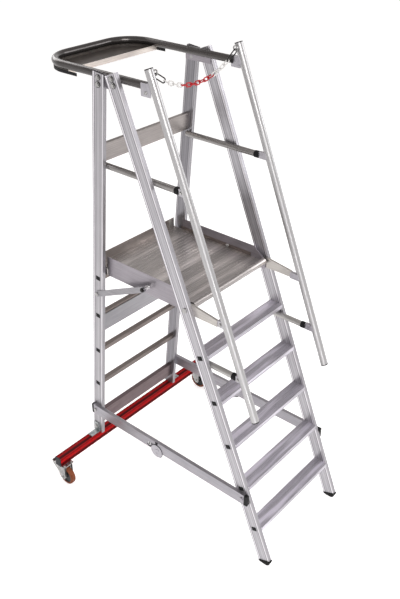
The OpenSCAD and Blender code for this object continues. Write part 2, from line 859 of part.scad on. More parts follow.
// Castor fork with its swivel head, axle and pedal lugs
wheel_r = wheel_dia / 2;
axle_r = 6;
axle_y = bar_y - castor_trail;
head_r = 30;
leg_gap = 2;
leg_x = wheel_w / 2 + leg_gap;
leg_hub_r = 15;
leg_top_d = 74;
pedal_drop = 10;
pedal_y = bar_y + head_r;
pedal_z = crown_z - pedal_drop;
pedal_pin_r = 4;
fork_w = 2 * (leg_x + fork_t);
module fork_leg() {
    union() {
        side_cut(leg_x, fork_t) polygon([
            [bar_y - leg_top_d / 2, crown_z],
            [bar_y + leg_top_d / 2, crown_z],
            [bar_y + leg_top_d / 2, pedal_z - 2 * pedal_pin_r],
            [axle_y + leg_hub_r, wheel_r],
            [axle_y - leg_hub_r, wheel_r],
            [bar_y - leg_top_d / 2, crown_z - crown_t]
        ]);
        along_x(leg_x, axle_y, wheel_r, leg_hub_r, fork_t);
    }
}
module castor_fork() {
    color(zinc) from_apex() translate([castor_x, 0, 0]) union() {
        translate([0, bar_y, crown_z + crown_t]) cylinder(r = head_r, h = swivel_top - crown_z - crown_t);
        block([-fork_w / 2, bar_y - leg_top_d / 2, crown_z], [fork_w, leg_top_d, crown_t]);
        both_sides() fork_leg();
        along_x(-fork_w / 2 - washer_t, axle_y, wheel_r, axle_r, fork_w + 2 * washer_t);
        along_x(-fork_w / 2, pedal_y, pedal_z, pedal_pin_r, fork_w);
    }
}
module castor_fork_left() { left_side() castor_fork(); }
module castor_fork_right() { castor_fork(); }

// Wheel with a recessed face, and its rounded tyre
rim_r = wheel_r - tyre_t;
recess_share = 0.2;
hub_r = 16;
module castor_wheel() {
    recess = wheel_w * recess_share;
    color(black) from_apex() translate([castor_x, axle_y, wheel_r]) rotate([0, 90, 0]) rotate_extrude()
        polygon([
            [axle_r + fit_gap, -wheel_w / 2],
            [hub_r, -wheel_w / 2],
            [hub_r + recess, -wheel_w / 2 + recess],
            [rim_r - recess, -wheel_w / 2 + recess],
            [rim_r - fit_gap, -wheel_w / 2 + recess / 2],
            [rim_r - fit_gap, wheel_w / 2 - recess / 2],
            [rim_r - recess, wheel_w / 2 - recess],
            [hub_r + recess, wheel_w / 2 - recess],
            [hub_r, wheel_w / 2],
            [axle_r + fit_gap, wheel_w / 2]
        ]);
}
module castor_wheel_left() { left_side() castor_wheel(); }
module castor_wheel_right() { castor_wheel(); }
module castor_tyre() {
    shoulder = tyre_t / 2;
    color(orange) from_apex() translate([castor_x, axle_y, wheel_r]) rotate([0, 90, 0]) rotate_extrude()
        union() {
            translate([rim_r, -wheel_w / 2]) square([tyre_t - shoulder, wheel_w]);
            translate([rim_r, -wheel_w / 2 + shoulder]) square([tyre_t, wheel_w - 2 * shoulder]);
            for (side = [-1, 1])
                translate([wheel_r - shoulder, side * (wheel_w / 2 - shoulder)]) circle(shoulder);
        }
}
module castor_tyre_left() { left_side() castor_tyre(); }
module castor_tyre_right() { castor_tyre(); }

// Brake pedal on the fork's rear pin
pedal_t = 5;
pedal_lip = 12;
pedal_ear_r = 8;
stem_share = 0.6;
module brake_pedal() {
    ear_t = (wheel_w - 2 * pedal_t) / 2;
    tip_y = pedal_y + pedal_l;
    color("#5a1a1c") from_apex() translate([castor_x, 0, 0]) difference() {
        union() {
            along_x(-ear_t, pedal_y, pedal_z, pedal_ear_r, 2 * ear_t);
            block([-ear_t, pedal_y, pedal_z], [2 * ear_t, pedal_l * stem_share, pedal_t]);
            block([-pedal_w / 2, tip_y - pedal_l / 2, pedal_z], [pedal_w, pedal_l / 2, pedal_t]);
            block([-pedal_w / 2, tip_y - pedal_t, pedal_z - pedal_lip], [pedal_w, pedal_t, pedal_lip]);
        }
        along_x(-wheel_w, pedal_y, pedal_z, pedal_pin_r + fit_gap, 2 * wheel_w);
    }
}
module brake_pedal_left() { left_side() brake_pedal(); }
module brake_pedal_right() { brake_pedal(); }

// Ribbed deck between the side plates
side_low = deck_z - side_down;
nosing_r = nosing_dia / 2;
nosing_share = 1.1;
nosing_y = front_y(deck_z) - nosing_r * nosing_share;
deck_in = deck_half - side_t;
rest_d = rung_d * 2;
beam_shares = [0.15, 0.35, 0.55, 0.75];
beam_t = 6;
beam_h = 24;
rib_share = 0.33;
rung_top = rung_z(1) + rung_d / 2 * (cos(rear_lean) + sin(rear_lean));
deck_low = deck_z - deck_t;
rest_low = rung_top + move_gap;
module platform_deck() {
    depth = deck_back - nosing_y;
    count = floor((depth - 2 * deck_pitch) / deck_pitch);
    beam_half = deck_in - side_flange - fit_gap;
    color(dull_alloy) from_apex() difference() {
        union() {
            block([-deck_in, nosing_y, deck_low], [2 * deck_in, depth, deck_t]);
            block([-deck_in, deck_back - rest_d, rest_low], [2 * deck_in, rest_d, deck_low - rest_low]);
            for (share = beam_shares) block(
                [-beam_half, nosing_y + share * depth, deck_low - beam_h],
                [2 * beam_half, beam_t, beam_h]
            );
        }
        block(
            [-deck_half, deck_back - rest_d + tube_wall, rest_low + tube_wall],
            [2 * deck_half, rest_d - 2 * tube_wall, deck_low - rest_low - tube_wall]
        );
        along_x(-deck_half, nosing_y, deck_z, nosing_r + fit_gap, 2 * deck_half);
        for (index = [1:count]) block(
            [-deck_half, deck_back - deck_pitch / 2 - deck_pitch * index, deck_z - deck_rib],
            [2 * deck_half, deck_pitch * rib_share, deck_rib + over]
        );
    }
}

// Side plates of the platform with inward flanges under the deck
module platform_sides() {
    front = pivot_y - side_flange;
    flange_y = pivot_y + 2 * pivot_head_r;
    color(alloy) from_apex() both_sides() difference() {
        union() {
            side_cut(deck_in, side_t) polygon([
                [front, side_low],
                [side_back, side_low],
                [side_back, deck_z + side_up],
                [front + side_slope, deck_z + side_up],
                [front, deck_z]
            ]);
            block(
                [deck_in - side_flange, flange_y, deck_low - side_t],
                [side_flange, deck_back - rest_d - flange_y, side_t]
            );
        }
        along_x(deck_in - over, pivot_y, pivot_z, pivot_bolt_r + move_gap, side_t + 2 * over);
    }
}

// Toe board across the rear of the deck
module toe_board() {
    color(alloy) from_apex()
        block([-deck_in, deck_back, deck_low], [2 * deck_in, side_t, toe_up + deck_t]);
}

// Rounded nosing along the deck's front edge
module deck_nosing() {
    half = deck_half - side_t - nosing_in;
    color(alloy) from_apex() difference() {
        along_x(-half, nosing_y, deck_z, nosing_r, 2 * half);
        along_x(-half - over, nosing_y, deck_z, nosing_r - tube_wall, 2 * half + 2 * over);
    }
}

// Platform link with its pin at the front end
link_x = flange_x + move_gap;
module flat_bar(x, y1, z1, y2, z2, height, thick) {
    run = norm([y2 - y1, z2 - z1]);
    translate([x, y1, z1]) rotate([atan2(z2 - z1, y2 - y1), 0, 0]) side_cut(0, thick) {
        translate([0, -height / 2]) square([run, height]);
        circle(height / 2);
        translate([run, 0]) circle(height / 2);
    }
}
module link() {
    color(alloy) from_apex() difference() {
        union() {
            flat_bar(link_x, link_y, link_z, pin_y, pin_z, link_h, link_t);
            along_x(deck_half + move_gap, pin_y, pin_z, pin_dia / 2, link_x - deck_half - move_gap);
            along_x(link_x + link_t, pin_y, pin_z, head_bolt_r, head_bolt_t);
        }
        along_x(link_x - over, link_y, link_z, bolt_r + move_gap, link_t + 2 * over);
    }
}
module link_left() { left_side() link(); }
module link_right() { link(); }

// Spreader bars, jointed at a disc hinge below their meeting ends
leaf_t = (spread_t - move_gap) / 2;
hinge_pin_r = 7;
end_gap = 2;
hinge_pin_l = leaf_t + move_gap + head_bolt_t;
module rear_spreader() {
    start = mid_y + end_gap;
    color(alloy) from_apex() difference() {
        union() {
            difference() {
                block(
                    [link_x, start, spread_z - spread_h / 2],
                    [spread_t, spread_rear_y + spread_tail - start, spread_h]
                );
                along_x(link_x - over, mid_y, mid_z, hinge_r + move_gap, spread_t + 2 * over);
            }
            along_x(link_x, mid_y, mid_z, hinge_r, leaf_t);
            block([link_x, start, mid_z], [leaf_t, hinge_r, hinge_drop]);
        }
        along_x(link_x - over, spread_rear_y, spread_z, bolt_r + move_gap, spread_t + 2 * over);
    }
    color(zinc) from_apex() along_x(link_x + leaf_t, mid_y, mid_z, hinge_pin_r, hinge_pin_l);
}
module rear_spreader_left() { left_side() rear_spreader(); }
module rear_spreader_right() { rear_spreader(); }
module front_spreader() {
    leaf_x = link_x + leaf_t + move_gap;
    start = spread_front_y - spread_tail;
    color(alloy) from_apex() difference() {
        union() {
            difference() {
                block(
                    [link_x, start, spread_z - spread_h / 2],
                    [spread_t, mid_y - end_gap - start, spread_h]
                );
                along_x(link_x - over, mid_y, mid_z, hinge_r + move_gap, spread_t + 2 * over);
            }
            along_x(leaf_x, mid_y, mid_z, hinge_r, leaf_t);
            block([leaf_x, mid_y - end_gap - hinge_r, mid_z], [leaf_t, hinge_r, hinge_drop]);
            along_x(link_x + spread_t, spread_front_y, spread_z, head_bolt_r, head_bolt_t);
        }
        along_x(leaf_x - over, mid_y, mid_z, hinge_pin_r + move_gap, leaf_t + 2 * over);
    }
}
module front_spreader_left() { left_side() front_spreader(); }
module front_spreader_right() { front_spreader(); }

front_stile_left();
front_stile_right();
step_1();
step_2();
step_3();
step_4();
step_5();
foot_left();
foot_right();
front_plugs();
handrail_left();
handrail_right();
rail_brackets();
knee_rails();
lower_stubs();
platform_arms();
top_rail();
head_plates();
tray();
tray_lip();
tray_edging();
front_bolts();
chain_eyes();
rear_stile_left();
rear_stile_right();
rung_1();
rung_2();
rung_3();
rung_4();
cross_plate();
lower_crossbar();
back_board();
rear_plugs();
rear_bolts();
base_bar();
base_bar_caps();
stile_brackets();
castor_plates();
platform_deck();
platform_sides();
toe_board();
deck_nosing();
link_left();
link_right();
rear_spreader_left();
rear_spreader_right();
front_spreader_left();
front_spreader_right();
castor_fork_left();
castor_fork_right();
castor_wheel_left();
castor_wheel_right();
castor_tyre_left();
castor_tyre_right();
brake_pedal_left();
brake_pedal_right();
chain_red();
chain_white();
quick_links();
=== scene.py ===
"""Looks of a folding platform step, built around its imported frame.

The frame gives every node, body and size. Each class below dresses one sub-assembly's nodes
and adds the small pieces that it carries. All lengths are in metres.
"""

import json
import logging
import math
from dataclasses import dataclass
from enum import Enum
from typing import Iterable, Sequence

import bmesh
import bpy
import numpy as np
from mathutils import Matrix, Vector

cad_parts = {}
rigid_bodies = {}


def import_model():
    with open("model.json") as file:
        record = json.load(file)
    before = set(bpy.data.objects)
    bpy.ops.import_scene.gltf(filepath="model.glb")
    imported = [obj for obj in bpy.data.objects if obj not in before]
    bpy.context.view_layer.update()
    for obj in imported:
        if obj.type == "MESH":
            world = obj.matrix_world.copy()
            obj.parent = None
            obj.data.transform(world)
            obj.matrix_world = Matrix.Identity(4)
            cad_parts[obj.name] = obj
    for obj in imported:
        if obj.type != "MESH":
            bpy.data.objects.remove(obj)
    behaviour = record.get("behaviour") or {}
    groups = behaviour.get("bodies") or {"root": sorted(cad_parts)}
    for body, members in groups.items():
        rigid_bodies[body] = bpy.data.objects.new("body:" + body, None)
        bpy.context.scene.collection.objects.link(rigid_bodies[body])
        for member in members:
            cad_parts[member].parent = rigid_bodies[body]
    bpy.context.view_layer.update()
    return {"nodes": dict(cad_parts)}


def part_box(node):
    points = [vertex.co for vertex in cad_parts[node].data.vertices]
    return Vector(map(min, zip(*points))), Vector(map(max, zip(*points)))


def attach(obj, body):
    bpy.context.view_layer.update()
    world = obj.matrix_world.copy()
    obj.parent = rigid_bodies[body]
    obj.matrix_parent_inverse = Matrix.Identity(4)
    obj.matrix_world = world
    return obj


LOG = logging.getLogger("platform_step")
MM = 0.001
TINY = 1e-6
SMOOTH_ANGLE = math.radians(32)
HEAD_FROM = 2.3  # Height at which the head of the frames starts
NOISE_SPAN = (0.3, 0.7)  # Usual span of a noise
MIX_FIRST, MIX_SECOND, MIX_RESULT = 6, 7, 2  # Colour sockets of a mix node
LINE_RELIEF = 0.4 * MM  # Depth of the bump of drawing lines
SKIN_RELIEF = 0.3 * MM  # Depth of the bump of other skins
Mesh = bmesh.types.BMesh
Material = bpy.types.Material
Socket = bpy.types.NodeSocket
Triple = tuple[float, float, float]
Colour = Triple
Stops = tuple[tuple[float, float], ...]
Outline = Sequence[tuple[float, float]]


class Spelled(Enum):
    """Option that is part of the names of nodes and bodies."""

    @property
    def word(self) -> str:
        """The option as those names spell it."""
        return self.name.lower()


class End(Spelled):
    """The rear and the front, as directions along Y."""

    REAR = 1
    FRONT = -1


class Side(Spelled):
    """The climber's two sides, as directions along X."""

    LEFT = -1
    RIGHT = 1

    @property
    def outward(self) -> Vector:
        """Direction away from the middle of the part."""
        return Vector((self.value, 0, 0))


class Grain(Enum):
    """Direction of the drawing lines in a metal, as a turn of the texture's Z axis."""

    UPRIGHT = (0.0, 0.0, 0.0)
    FRONT_STILE = (math.radians(-21.9), 0.0, 0.0)
    REAR_STILE = (math.radians(5.8), 0.0, 0.0)
    ACROSS = (0.0, math.radians(90), 0.0)
    FORE_AND_AFT = (math.radians(90), 0.0, 0.0)

    @property
    def lean(self) -> float:
        """Lean of a stile with this grain."""
        return self.value[0]

    @property
    def across(self) -> Triple:
        """Direction from the front edge to the rear edge of a stile with this grain."""
        return 0.0, math.cos(self.lean), math.sin(self.lean)


@dataclass(frozen=True)
class Box:
    """Lowest and highest corner of a solid at rest."""

    low: Vector
    high: Vector

    @property
    def middle(self) -> Vector:
        """Middle of the box."""
        return (self.low + self.high) / 2

    @property
    def size(self) -> Vector:
        """Edge lengths of the box."""
        return self.high - self.low

    @property
    def side(self) -> Side:
        """Side of the part that the solid is on."""
        return Side.RIGHT if self.middle.x > 0 else Side.LEFT

    def outer_x(self, side: Side) -> float:
        """Place of the face that looks away from the middle of the part."""
        return self.high.x if side is Side.RIGHT else self.low.x

    def inner_x(self, side: Side) -> float:
        """Place of the face that looks to the middle of the part."""
        return self.low.x if side is Side.RIGHT else self.high.x


def scale_colour(colour: Colour, gain: float, lift: float = 0.0) -> Colour:
    """Colour made lighter or darker, up to white.

    Args:
        colour: The colour to start from.
        gain: Factor on each channel.
        lift: Amount added to each channel.

    Returns:
        The changed colour.
    """
    red, green, blue = (min(1.0, channel * gain + lift) for channel in colour)
    return red, green, blue


class Shader:
    """Node tree of one finish, with short calls for the nodes that finishes share."""

    def __init__(self, name: str) -> None:
        """Starts a material with a principled surface.

        Args:
            name: Name of the material.
        """
        self.material = bpy.data.materials.new(name)
        self.material.use_nodes = True
        self.tree = self.material.node_tree
        self.tree.nodes.clear()
        output = self.add("ShaderNodeOutputMaterial")
        self.surface = self.add("ShaderNodeBsdfPrincipled")
        self.link(self.surface.outputs["BSDF"], output.inputs["Surface"])
        self.object_coords = self.add("ShaderNodeTexCoord").outputs["Object"]

    def add(self, kind: str, **settings: object) -> bpy.types.Node:
        """Adds a node.

        Args:
            kind: Type name of the node.
            settings: Properties set on the node.

        Returns:
            The new node.
        """
        node = self.tree.nodes.new(kind)
        for key, value in settings.items():
            setattr(node, key, value)
        return node

    def link(self, start: Socket, end: Socket) -> None:
        """Joins an output to an input."""
        self.tree.links.new(start, end)

    def set(self, name: str, value: object) -> None:
        """Sets a constant on the surface."""
        self.surface.inputs[name].default_value = value

    def feed(self, name: str, value: Socket) -> None:
        """Feeds the surface's input from a socket."""
        self.link(value, self.surface.inputs[name])

    def coords(self, turn: Sequence[float], scale: Sequence[float]) -> Socket:
        """Object coordinates, turned and scaled.

        Args:
            turn: Euler angles of the texture.
            scale: Scale along the three axes.

        Returns:
            The mapped vector.
        """
        turned = self.add("ShaderNodeMapping", vector_type="TEXTURE")
        turned.inputs["Rotation"].default_value = turn
        self.link(self.object_coords, turned.inputs["Vector"])
        scaled = self.add("ShaderNodeVectorMath", operation="MULTIPLY")
        scaled.inputs[1].default_value = scale
        self.link(turned.outputs["Vector"], scaled.inputs[0])
        return scaled.outputs["Vector"]

    def noise(self, vector: Socket, scale: float, detail: float = 3.0) -> Socket:
        """Noise over a vector.

        Args:
            vector: Coordinates of the noise.
            scale: Fineness of the noise.
            detail: Octaves of the noise.

        Returns:
            The noise from 0 to 1.
        """
        node = self.add("ShaderNodeTexNoise")
        node.inputs["Scale"].default_value = scale
        node.inputs["Detail"].default_value = detail
        self.link(vector, node.inputs["Vector"])
        return node.outputs["Fac"]

    def clouds(self, pitch: float) -> Socket:
        """Soft clouds of a fineness."""
        return self.noise(self.object_coords, pitch, detail=4.0)

    def lines(self, grain: Grain, pitch: float, stretch: float, detail: float = 4.0) -> Socket:
        """Noise drawn out along a grain.

        Args:
            grain: Direction of the lines.
            pitch: Fineness across the lines.
            stretch: Fineness along them, as a share of the pitch.
            detail: Octaves of the noise.

        Returns:
            The noise from 0 to 1.
        """
        scale = (pitch, pitch, pitch * stretch)
        return self.noise(self.coords(grain.value, scale), 1.0, detail)

    def cells(self, vector: Socket, scale: float) -> Socket:
        """Random grey of each cell of a crystal pattern.

        Args:
            vector: Coordinates of the pattern.
            scale: Number of cells in a metre.

        Returns:
            The colour of the cells.
        """
        node = self.add("ShaderNodeTexVoronoi")
        node.inputs["Scale"].default_value = scale
        self.link(vector, node.inputs["Vector"])
        return node.outputs["Color"]

    def fit(
        self, value: Socket, low: float, high: float, start: float = 0.0, end: float = 1.0,
    ) -> Socket:
        """Maps one range of a value to another.

        Args:
            value: The value to map.
            low: Result at the start.
            high: Result at the end.
            start: Value that gives low.
            end: Value that gives high.

        Returns:
            The mapped value.
        """
        node = self.add("ShaderNodeMapRange")
        node.inputs["From Min"].default_value = start
        node.inputs["From Max"].default_value = end
        node.inputs["To Min"].default_value = low
        node.inputs["To Max"].default_value = high
        self.link(value, node.inputs["Value"])
        return node.outputs["Result"]

    def spread(self, noise: Socket, low: float, high: float) -> Socket:
        """Maps the usual span of a noise to a range."""
        return self.fit(noise, low, high, *NOISE_SPAN)

    def roughen(self, clouds: Socket, middle: float, less: float = 0.06, more: float = 0.1) -> None:
        """Varies the surface's roughness about a middle value with its clouds."""
        self.feed("Roughness", self.spread(clouds, middle - less, middle + more))

    def blend(self, share: Socket, first: Colour | Socket, second: Colour | Socket) -> Socket:
        """Mixes two colours.

        Args:
            share: Share of the second colour.
            first: Colour at a share of 0.
            second: Colour at a share of 1.

        Returns:
            The mixed colour.
        """
        node = self.add("ShaderNodeMix", data_type="RGBA")
        self.link(share, node.inputs[0])
        for colour, socket in ((first, node.inputs[MIX_FIRST]), (second, node.inputs[MIX_SECOND])):
            if isinstance(colour, tuple):
                socket.default_value = (*colour, 1.0)
            else:
                self.link(colour, socket)
        return node.outputs[MIX_RESULT]

    def bands(self, across: Triple, span: tuple[float, float], stops: Stops) -> Socket:
        """Grey bands across a direction of the part.

        Args:
            across: Direction that the bands follow one another in.
            span: Distances along that direction at which the bands start and end.
            stops: Place and grey of each stop, both from 0 to 1.

        Returns:
            The grey of the bands.
        """
        dot = self.add("ShaderNodeVectorMath", operation="DOT_PRODUCT")
        dot.inputs[1].default_value = across
        self.link(self.object_coords, dot.inputs[0])
        ramp = self.add("ShaderNodeValToRGB")
        elements = ramp.color_ramp.elements
        for place, grey in stops[1:-1]:
            elements.new(place).color = (grey, grey, grey, 1.0)
        for element, (_, grey) in ((elements[0], stops[0]), (elements[-1], stops[-1])):
            element.color = (grey, grey, grey, 1.0)
        self.link(self.fit(dot.outputs["Value"], 0.0, 1.0, *span), ramp.inputs["Fac"])
        return ramp.outputs["Color"]

    def edges(self, radius: float) -> Socket:
        """Mask of the surface's sharp edges.

        Args:
            radius: Reach of the mask from an edge.

        Returns:
            1 on an edge and 0 away from edges.
        """
        bevel = self.add("ShaderNodeBevel", samples=4)
        bevel.inputs["Radius"].default_value = radius
        geometry = self.add("ShaderNodeNewGeometry")
        dot = self.add("ShaderNodeVectorMath", operation="DOT_PRODUCT")
        self.link(bevel.outputs["Normal"], dot.inputs[0])
        self.link(geometry.outputs["Normal"], dot.inputs[1])
        return self.fit(dot.outputs["Value"], 1.0, 0.0, start=0.75, end=0.99)

    def relief(self, height: Socket, strength: float, depth: float) -> None:
        """Gives the surface a bump.

        Args:
            height: Height of the bump from 0 to 1.
            strength: Strength of the bump.
            depth: Depth that the height stands for.
        """
        node = self.add("ShaderNodeBump")
        node.inputs["Strength"].default_value = strength
        node.inputs["Distance"].default_value = depth
        self.link(height, node.inputs["Height"])
        self.feed("Normal", node.outputs["Normal"])


@dataclass(frozen=True)
class Metal:
    """Drawn, rolled or pressed metal with lines along its grain."""

    name: str
    light: Colour
    dark: Colour
    grain: Grain
    roughness: float = 0.34
    metallic: float = 0.85
    line_pitch: float = 260.0
    line_stretch: float = 0.03
    line_depth: float = 0.12
    # Edges are lightened, partly as wear and partly as painted highlight.
    edge_gain: float = 0.35
    edge_reach: float = 1.5 * MM
    cloud_pitch: float = 9.0
    cloud_share: float = 0.35
    # Lighter streaks along the grain are painted reflection streaks.
    streak_pitch: float = 0.0
    streak_stretch: float = 0.07
    streak_most: float = 0.8
    streak_gain: float = 1.7

    def build(self) -> Material:
        """Makes a surface with fine lines, faint clouds, painted reflection streaks and edges lightened partly as
        wear and partly as painted highlight.

        Returns:
            The material.
        """
        shader = Shader(self.name)
        lines = shader.lines(self.grain, self.line_pitch, self.line_stretch)
        clouds = shader.clouds(self.cloud_pitch)
        tone = shader.blend(shader.spread(lines, 0.0, 1.0), self.dark, self.light)
        dull = shader.fit(clouds, 0.0, self.cloud_share, start=0.4, end=0.75)
        tone = shader.blend(dull, tone, self.dark)
        # Painted reflection: lighter streaks along the grain.
        if self.streak_pitch > 0:
            reflection_streaks = shader.lines(self.grain, self.streak_pitch, self.streak_stretch, detail=2.0)
            grain_and_painted_light = shader.fit(reflection_streaks, 0.0, self.streak_most, start=0.48, end=0.7)
            tone = shader.blend(grain_and_painted_light, tone, scale_colour(self.light, self.streak_gain))
        # Lightened edges: partly wear, partly painted highlight.
        if self.edge_gain > 0:
            worn_and_lit_edge = scale_colour(self.light, 1 + self.edge_gain)
            tone = shader.blend(shader.edges(self.edge_reach), tone, worn_and_lit_edge)
        shader.feed("Base Color", tone)
        shader.roughen(clouds, self.roughness)
        shader.set("Metallic", self.metallic)
        shader.relief(lines, self.line_depth, LINE_RELIEF)
        return shader.material


@dataclass(frozen=True)
class Extrusion:
    """Drawn stile with painted highlights along its edges, painted shade in its grooves and on its inner faces.
    """

    name: str
    rib: Colour
    line: Colour
    grain: Grain
    side: Side
    span: tuple[float, float]
    inner_share: float
    roughness: float = 0.34
    metallic: float = 0.85
    line_pitch: float = 300.0
    line_stretch: float = 0.02
    line_share: float = 0.34
    line_depth: float = 0.12
    inner_turn: tuple[float, float] = (0.5, 0.9)
    cloud_pitch: float = 7.0
    # Place and grey of each band across the stile: a grey of 1 gives the painted highlights on the edges, the low
    # greys painted shade in the grooves.
    stops: Stops = (
        (0.0, 0.4), (0.03, 0.4), (0.05, 1.0), (0.15, 1.0), (0.17, 0.05), (0.21, 0.05), (0.23, 0.5), (0.34, 0.54),
        (0.36, 0.3), (0.39, 0.3), (0.41, 0.57), (0.6, 0.53), (0.62, 0.3), (0.65, 0.3), (0.67, 0.53), (0.77, 0.5),
        (0.79, 0.05), (0.83, 0.05), (0.85, 1.0), (0.95, 1.0), (0.97, 0.1), (1.0, 0.1),
    )

    def build(self) -> Material:
        """Makes a surface with painted highlights, painted shade and drawing lines along the stile.

        Returns:
            The material.
        """
        shader = Shader(self.name)
        lines = shader.lines(self.grain, self.line_pitch, self.line_stretch)
        clouds = shader.clouds(self.cloud_pitch)
        # Bands across the stile: painted highlights on its edges and painted shade in its grooves.
        bands = shader.bands(self.grain.across, self.span, self.stops)
        body = shader.blend(bands, self.line, self.rib)
        grain_and_painted_light = shader.blend(shader.spread(lines, self.line_share, 0.0), body, self.line)
        # Inward-facing faces are darkened towards the dark colour: painted shade.
        normal = shader.add("ShaderNodeSeparateXYZ")
        shader.link(shader.add("ShaderNodeTexCoord").outputs["Normal"], normal.inputs["Vector"])
        start, end = (-turn * self.side.value for turn in self.inner_turn)
        painted_inner_shade = shader.fit(normal.outputs["X"], 0.0, self.inner_share, start, end)
        shader.feed("Base Color", shader.blend(painted_inner_shade, grain_and_painted_light, self.line))
        shader.roughen(clouds, self.roughness)
        shader.set("Metallic", self.metallic)
        shader.relief(lines, self.line_depth, LINE_RELIEF)
        return shader.material


@dataclass(frozen=True)
class Spangle:
    """Galvanised steel with its crystal pattern."""

    name: str
    light: Colour
    dark: Colour
    roughness: float = 0.38
    metallic: float = 0.85
    cell: float = 110.0
    gloss_less: float = 0.1
    gloss_more: float = 0.12
    pit_pitch: float = 400.0
    pit_depth: float = 0.08
    # Edges are lightened, partly as wear and partly as painted highlight.
    edge_reach: float = 1.2 * MM
    edge_gain: float = 1.2

    def build(self) -> Material:
        """Makes a surface whose crystals differ in tone and gloss, with edges lightened partly as wear and partly
        as painted highlight.

        Returns:
            The material.
        """
        shader = Shader(self.name)
        cells = shader.cells(shader.object_coords, self.cell)
        grey = shader.add("ShaderNodeSeparateColor")
        shader.link(cells, grey.inputs["Color"])
        tone = shader.blend(grey.outputs["Red"], self.dark, self.light)
        # Lightened edges: partly wear, partly painted highlight.
        bright = scale_colour(self.light, self.edge_gain)
        shader.feed("Base Color", shader.blend(shader.edges(self.edge_reach), tone, bright))
        least, most = self.roughness - self.gloss_less, self.roughness + self.gloss_more
        shader.feed("Roughness", shader.fit(grey.outputs["Green"], least, most))
        shader.set("Metallic", self.metallic)
        shader.relief(shader.noise(shader.object_coords, self.pit_pitch), self.pit_depth, SKIN_RELIEF)
        return shader.material


@dataclass(frozen=True)
class Moulding:
    """Moulded plastic or rubber with a fine texture."""

    name: str
    light: Colour
    dark: Colour
    roughness: float = 0.5
    texture: float = 900.0
    depth: float = 0.15
    shine: float = 0.15
    cloud_pitch: float = 35.0
    edge_reach: float = 1.0 * MM
    edge_share: float = 0.6
    scuff_gain: float = 1.5
    scuff_lift: float = 0.02

    def build(self) -> Material:
        """Makes a surface with a moulded texture, faint clouds and scuffed edges.

        Returns:
            The material.
        """
        shader = Shader(self.name)
        grain = shader.noise(shader.object_coords, self.texture, detail=2.0)
        clouds = shader.clouds(self.cloud_pitch)
        tone = shader.blend(shader.spread(clouds, 0.0, 1.0), self.dark, self.light)
        scuff = scale_colour(self.light, self.scuff_gain, self.scuff_lift)
        worn = shader.fit(shader.edges(self.edge_reach), 0.0, self.edge_share)
        shader.feed("Base Color", shader.blend(worn, tone, scuff))
        shader.roughen(clouds, self.roughness, less=0.08)
        shader.set("Specular IOR Level", self.shine)
        shader.relief(grain, self.depth, SKIN_RELIEF)
        return shader.material


@dataclass(frozen=True)
class PowderCoat:
    """Paint with an orange-peel skin, painted shade in the grooves and thin on the edges."""

    name: str
    light: Colour
    # Colour of the faint clouds and of the painted shade in the grooves.
    dark: Colour
    bare: Colour
    across: Triple
    span: tuple[float, float]
    roughness: float = 0.42
    shine: float = 0.06
    ripple_pitch: float = 320.0
    ripple_depth: float = 0.1
    cloud_pitch: float = 12.0
    edge_reach: float = 1.2 * MM
    edge_share: float = 0.3
    # Place and grey of each band across the bar: the low greys are painted shade in the grooves and along the top
    # and bottom edges.
    stops: Stops = (
        (0.0, 0.4), (0.05, 0.4), (0.07, 0.08), (0.22, 0.08), (0.24, 1.0), (0.42, 1.0), (0.44, 0.5), (0.5, 0.5),
        (0.52, 0.65), (0.59, 0.65), (0.61, 0.04), (0.77, 0.04), (0.79, 0.55), (0.94, 0.6), (0.96, 0.25),
        (1.0, 0.25),
    )

    def build(self) -> Material:
        """Makes a surface with a rippled skin, painted shade in the grooves and worn edges.

        Returns:
            The material.
        """
        shader = Shader(self.name)
        ripple = shader.noise(shader.object_coords, self.ripple_pitch, detail=2.0)
        clouds = shader.clouds(self.cloud_pitch)
        skin = shader.blend(shader.spread(clouds, 0.8, 1.0), self.dark, self.light)
        # The bands darken the grooves towards the dark colour: painted shade.
        tone = shader.blend(shader.bands(self.across, self.span, self.stops), self.dark, skin)
        worn = shader.fit(shader.edges(self.edge_reach), 0.0, self.edge_share)
        shader.feed("Base Color", shader.blend(worn, tone, self.bare))
        shader.roughen(clouds, self.roughness)
        shader.set("Specular IOR Level", self.shine)
        shader.relief(ripple, self.ripple_depth, SKIN_RELIEF)
        return shader.material


Finish = Metal | Extrusion | Spangle | Moulding | PowderCoat

# Stile colours: painted highlight for the edges, and a dark colour for painted shade and the drawing lines.
STILE_PAINTED_HIGHLIGHT: Colour = (0.84, 0.82, 0.85)
STILE_PAINTED_SHADE_AND_LINE: Colour = (0.15, 0.145, 0.165)
REAR_PAINTED_HIGHLIGHT: Colour = (0.8, 0.78, 0.81)
REAR_PAINTED_SHADE_AND_LINE: Colour = (0.13, 0.125, 0.14)
BRACKET = Metal("bracket_plate", (0.5, 0.485, 0.52), (0.38, 0.37, 0.4), Grain.FRONT_STILE)
TREAD = Metal(
    "ribbed_tread", (0.54, 0.52, 0.57), (0.38, 0.365, 0.4), Grain.ACROSS, roughness=0.4, streak_pitch=34.0)
BRIGHT_TUBE = Metal(
    "bright_tube", (0.47, 0.465, 0.47), (0.41, 0.405, 0.41), Grain.FRONT_STILE, roughness=0.32, line_depth=0.0,
    edge_gain=0.0)
STUB_TUBE = Metal("stub_tube", (0.5, 0.49, 0.47), (0.38, 0.37, 0.36), Grain.FORE_AND_AFT, edge_gain=0.0)
DULL_TUBE = Metal(
    "dull_tube", (0.12, 0.112, 0.11), (0.07, 0.065, 0.063), Grain.FORE_AND_AFT, roughness=0.22, line_depth=0.04,
    edge_gain=0.0)
KNEE_TUBE = Metal(
    "knee_tube", (0.36, 0.345, 0.34), (0.22, 0.21, 0.205), Grain.FORE_AND_AFT, roughness=0.2, line_depth=0.04,
    edge_gain=0.0)
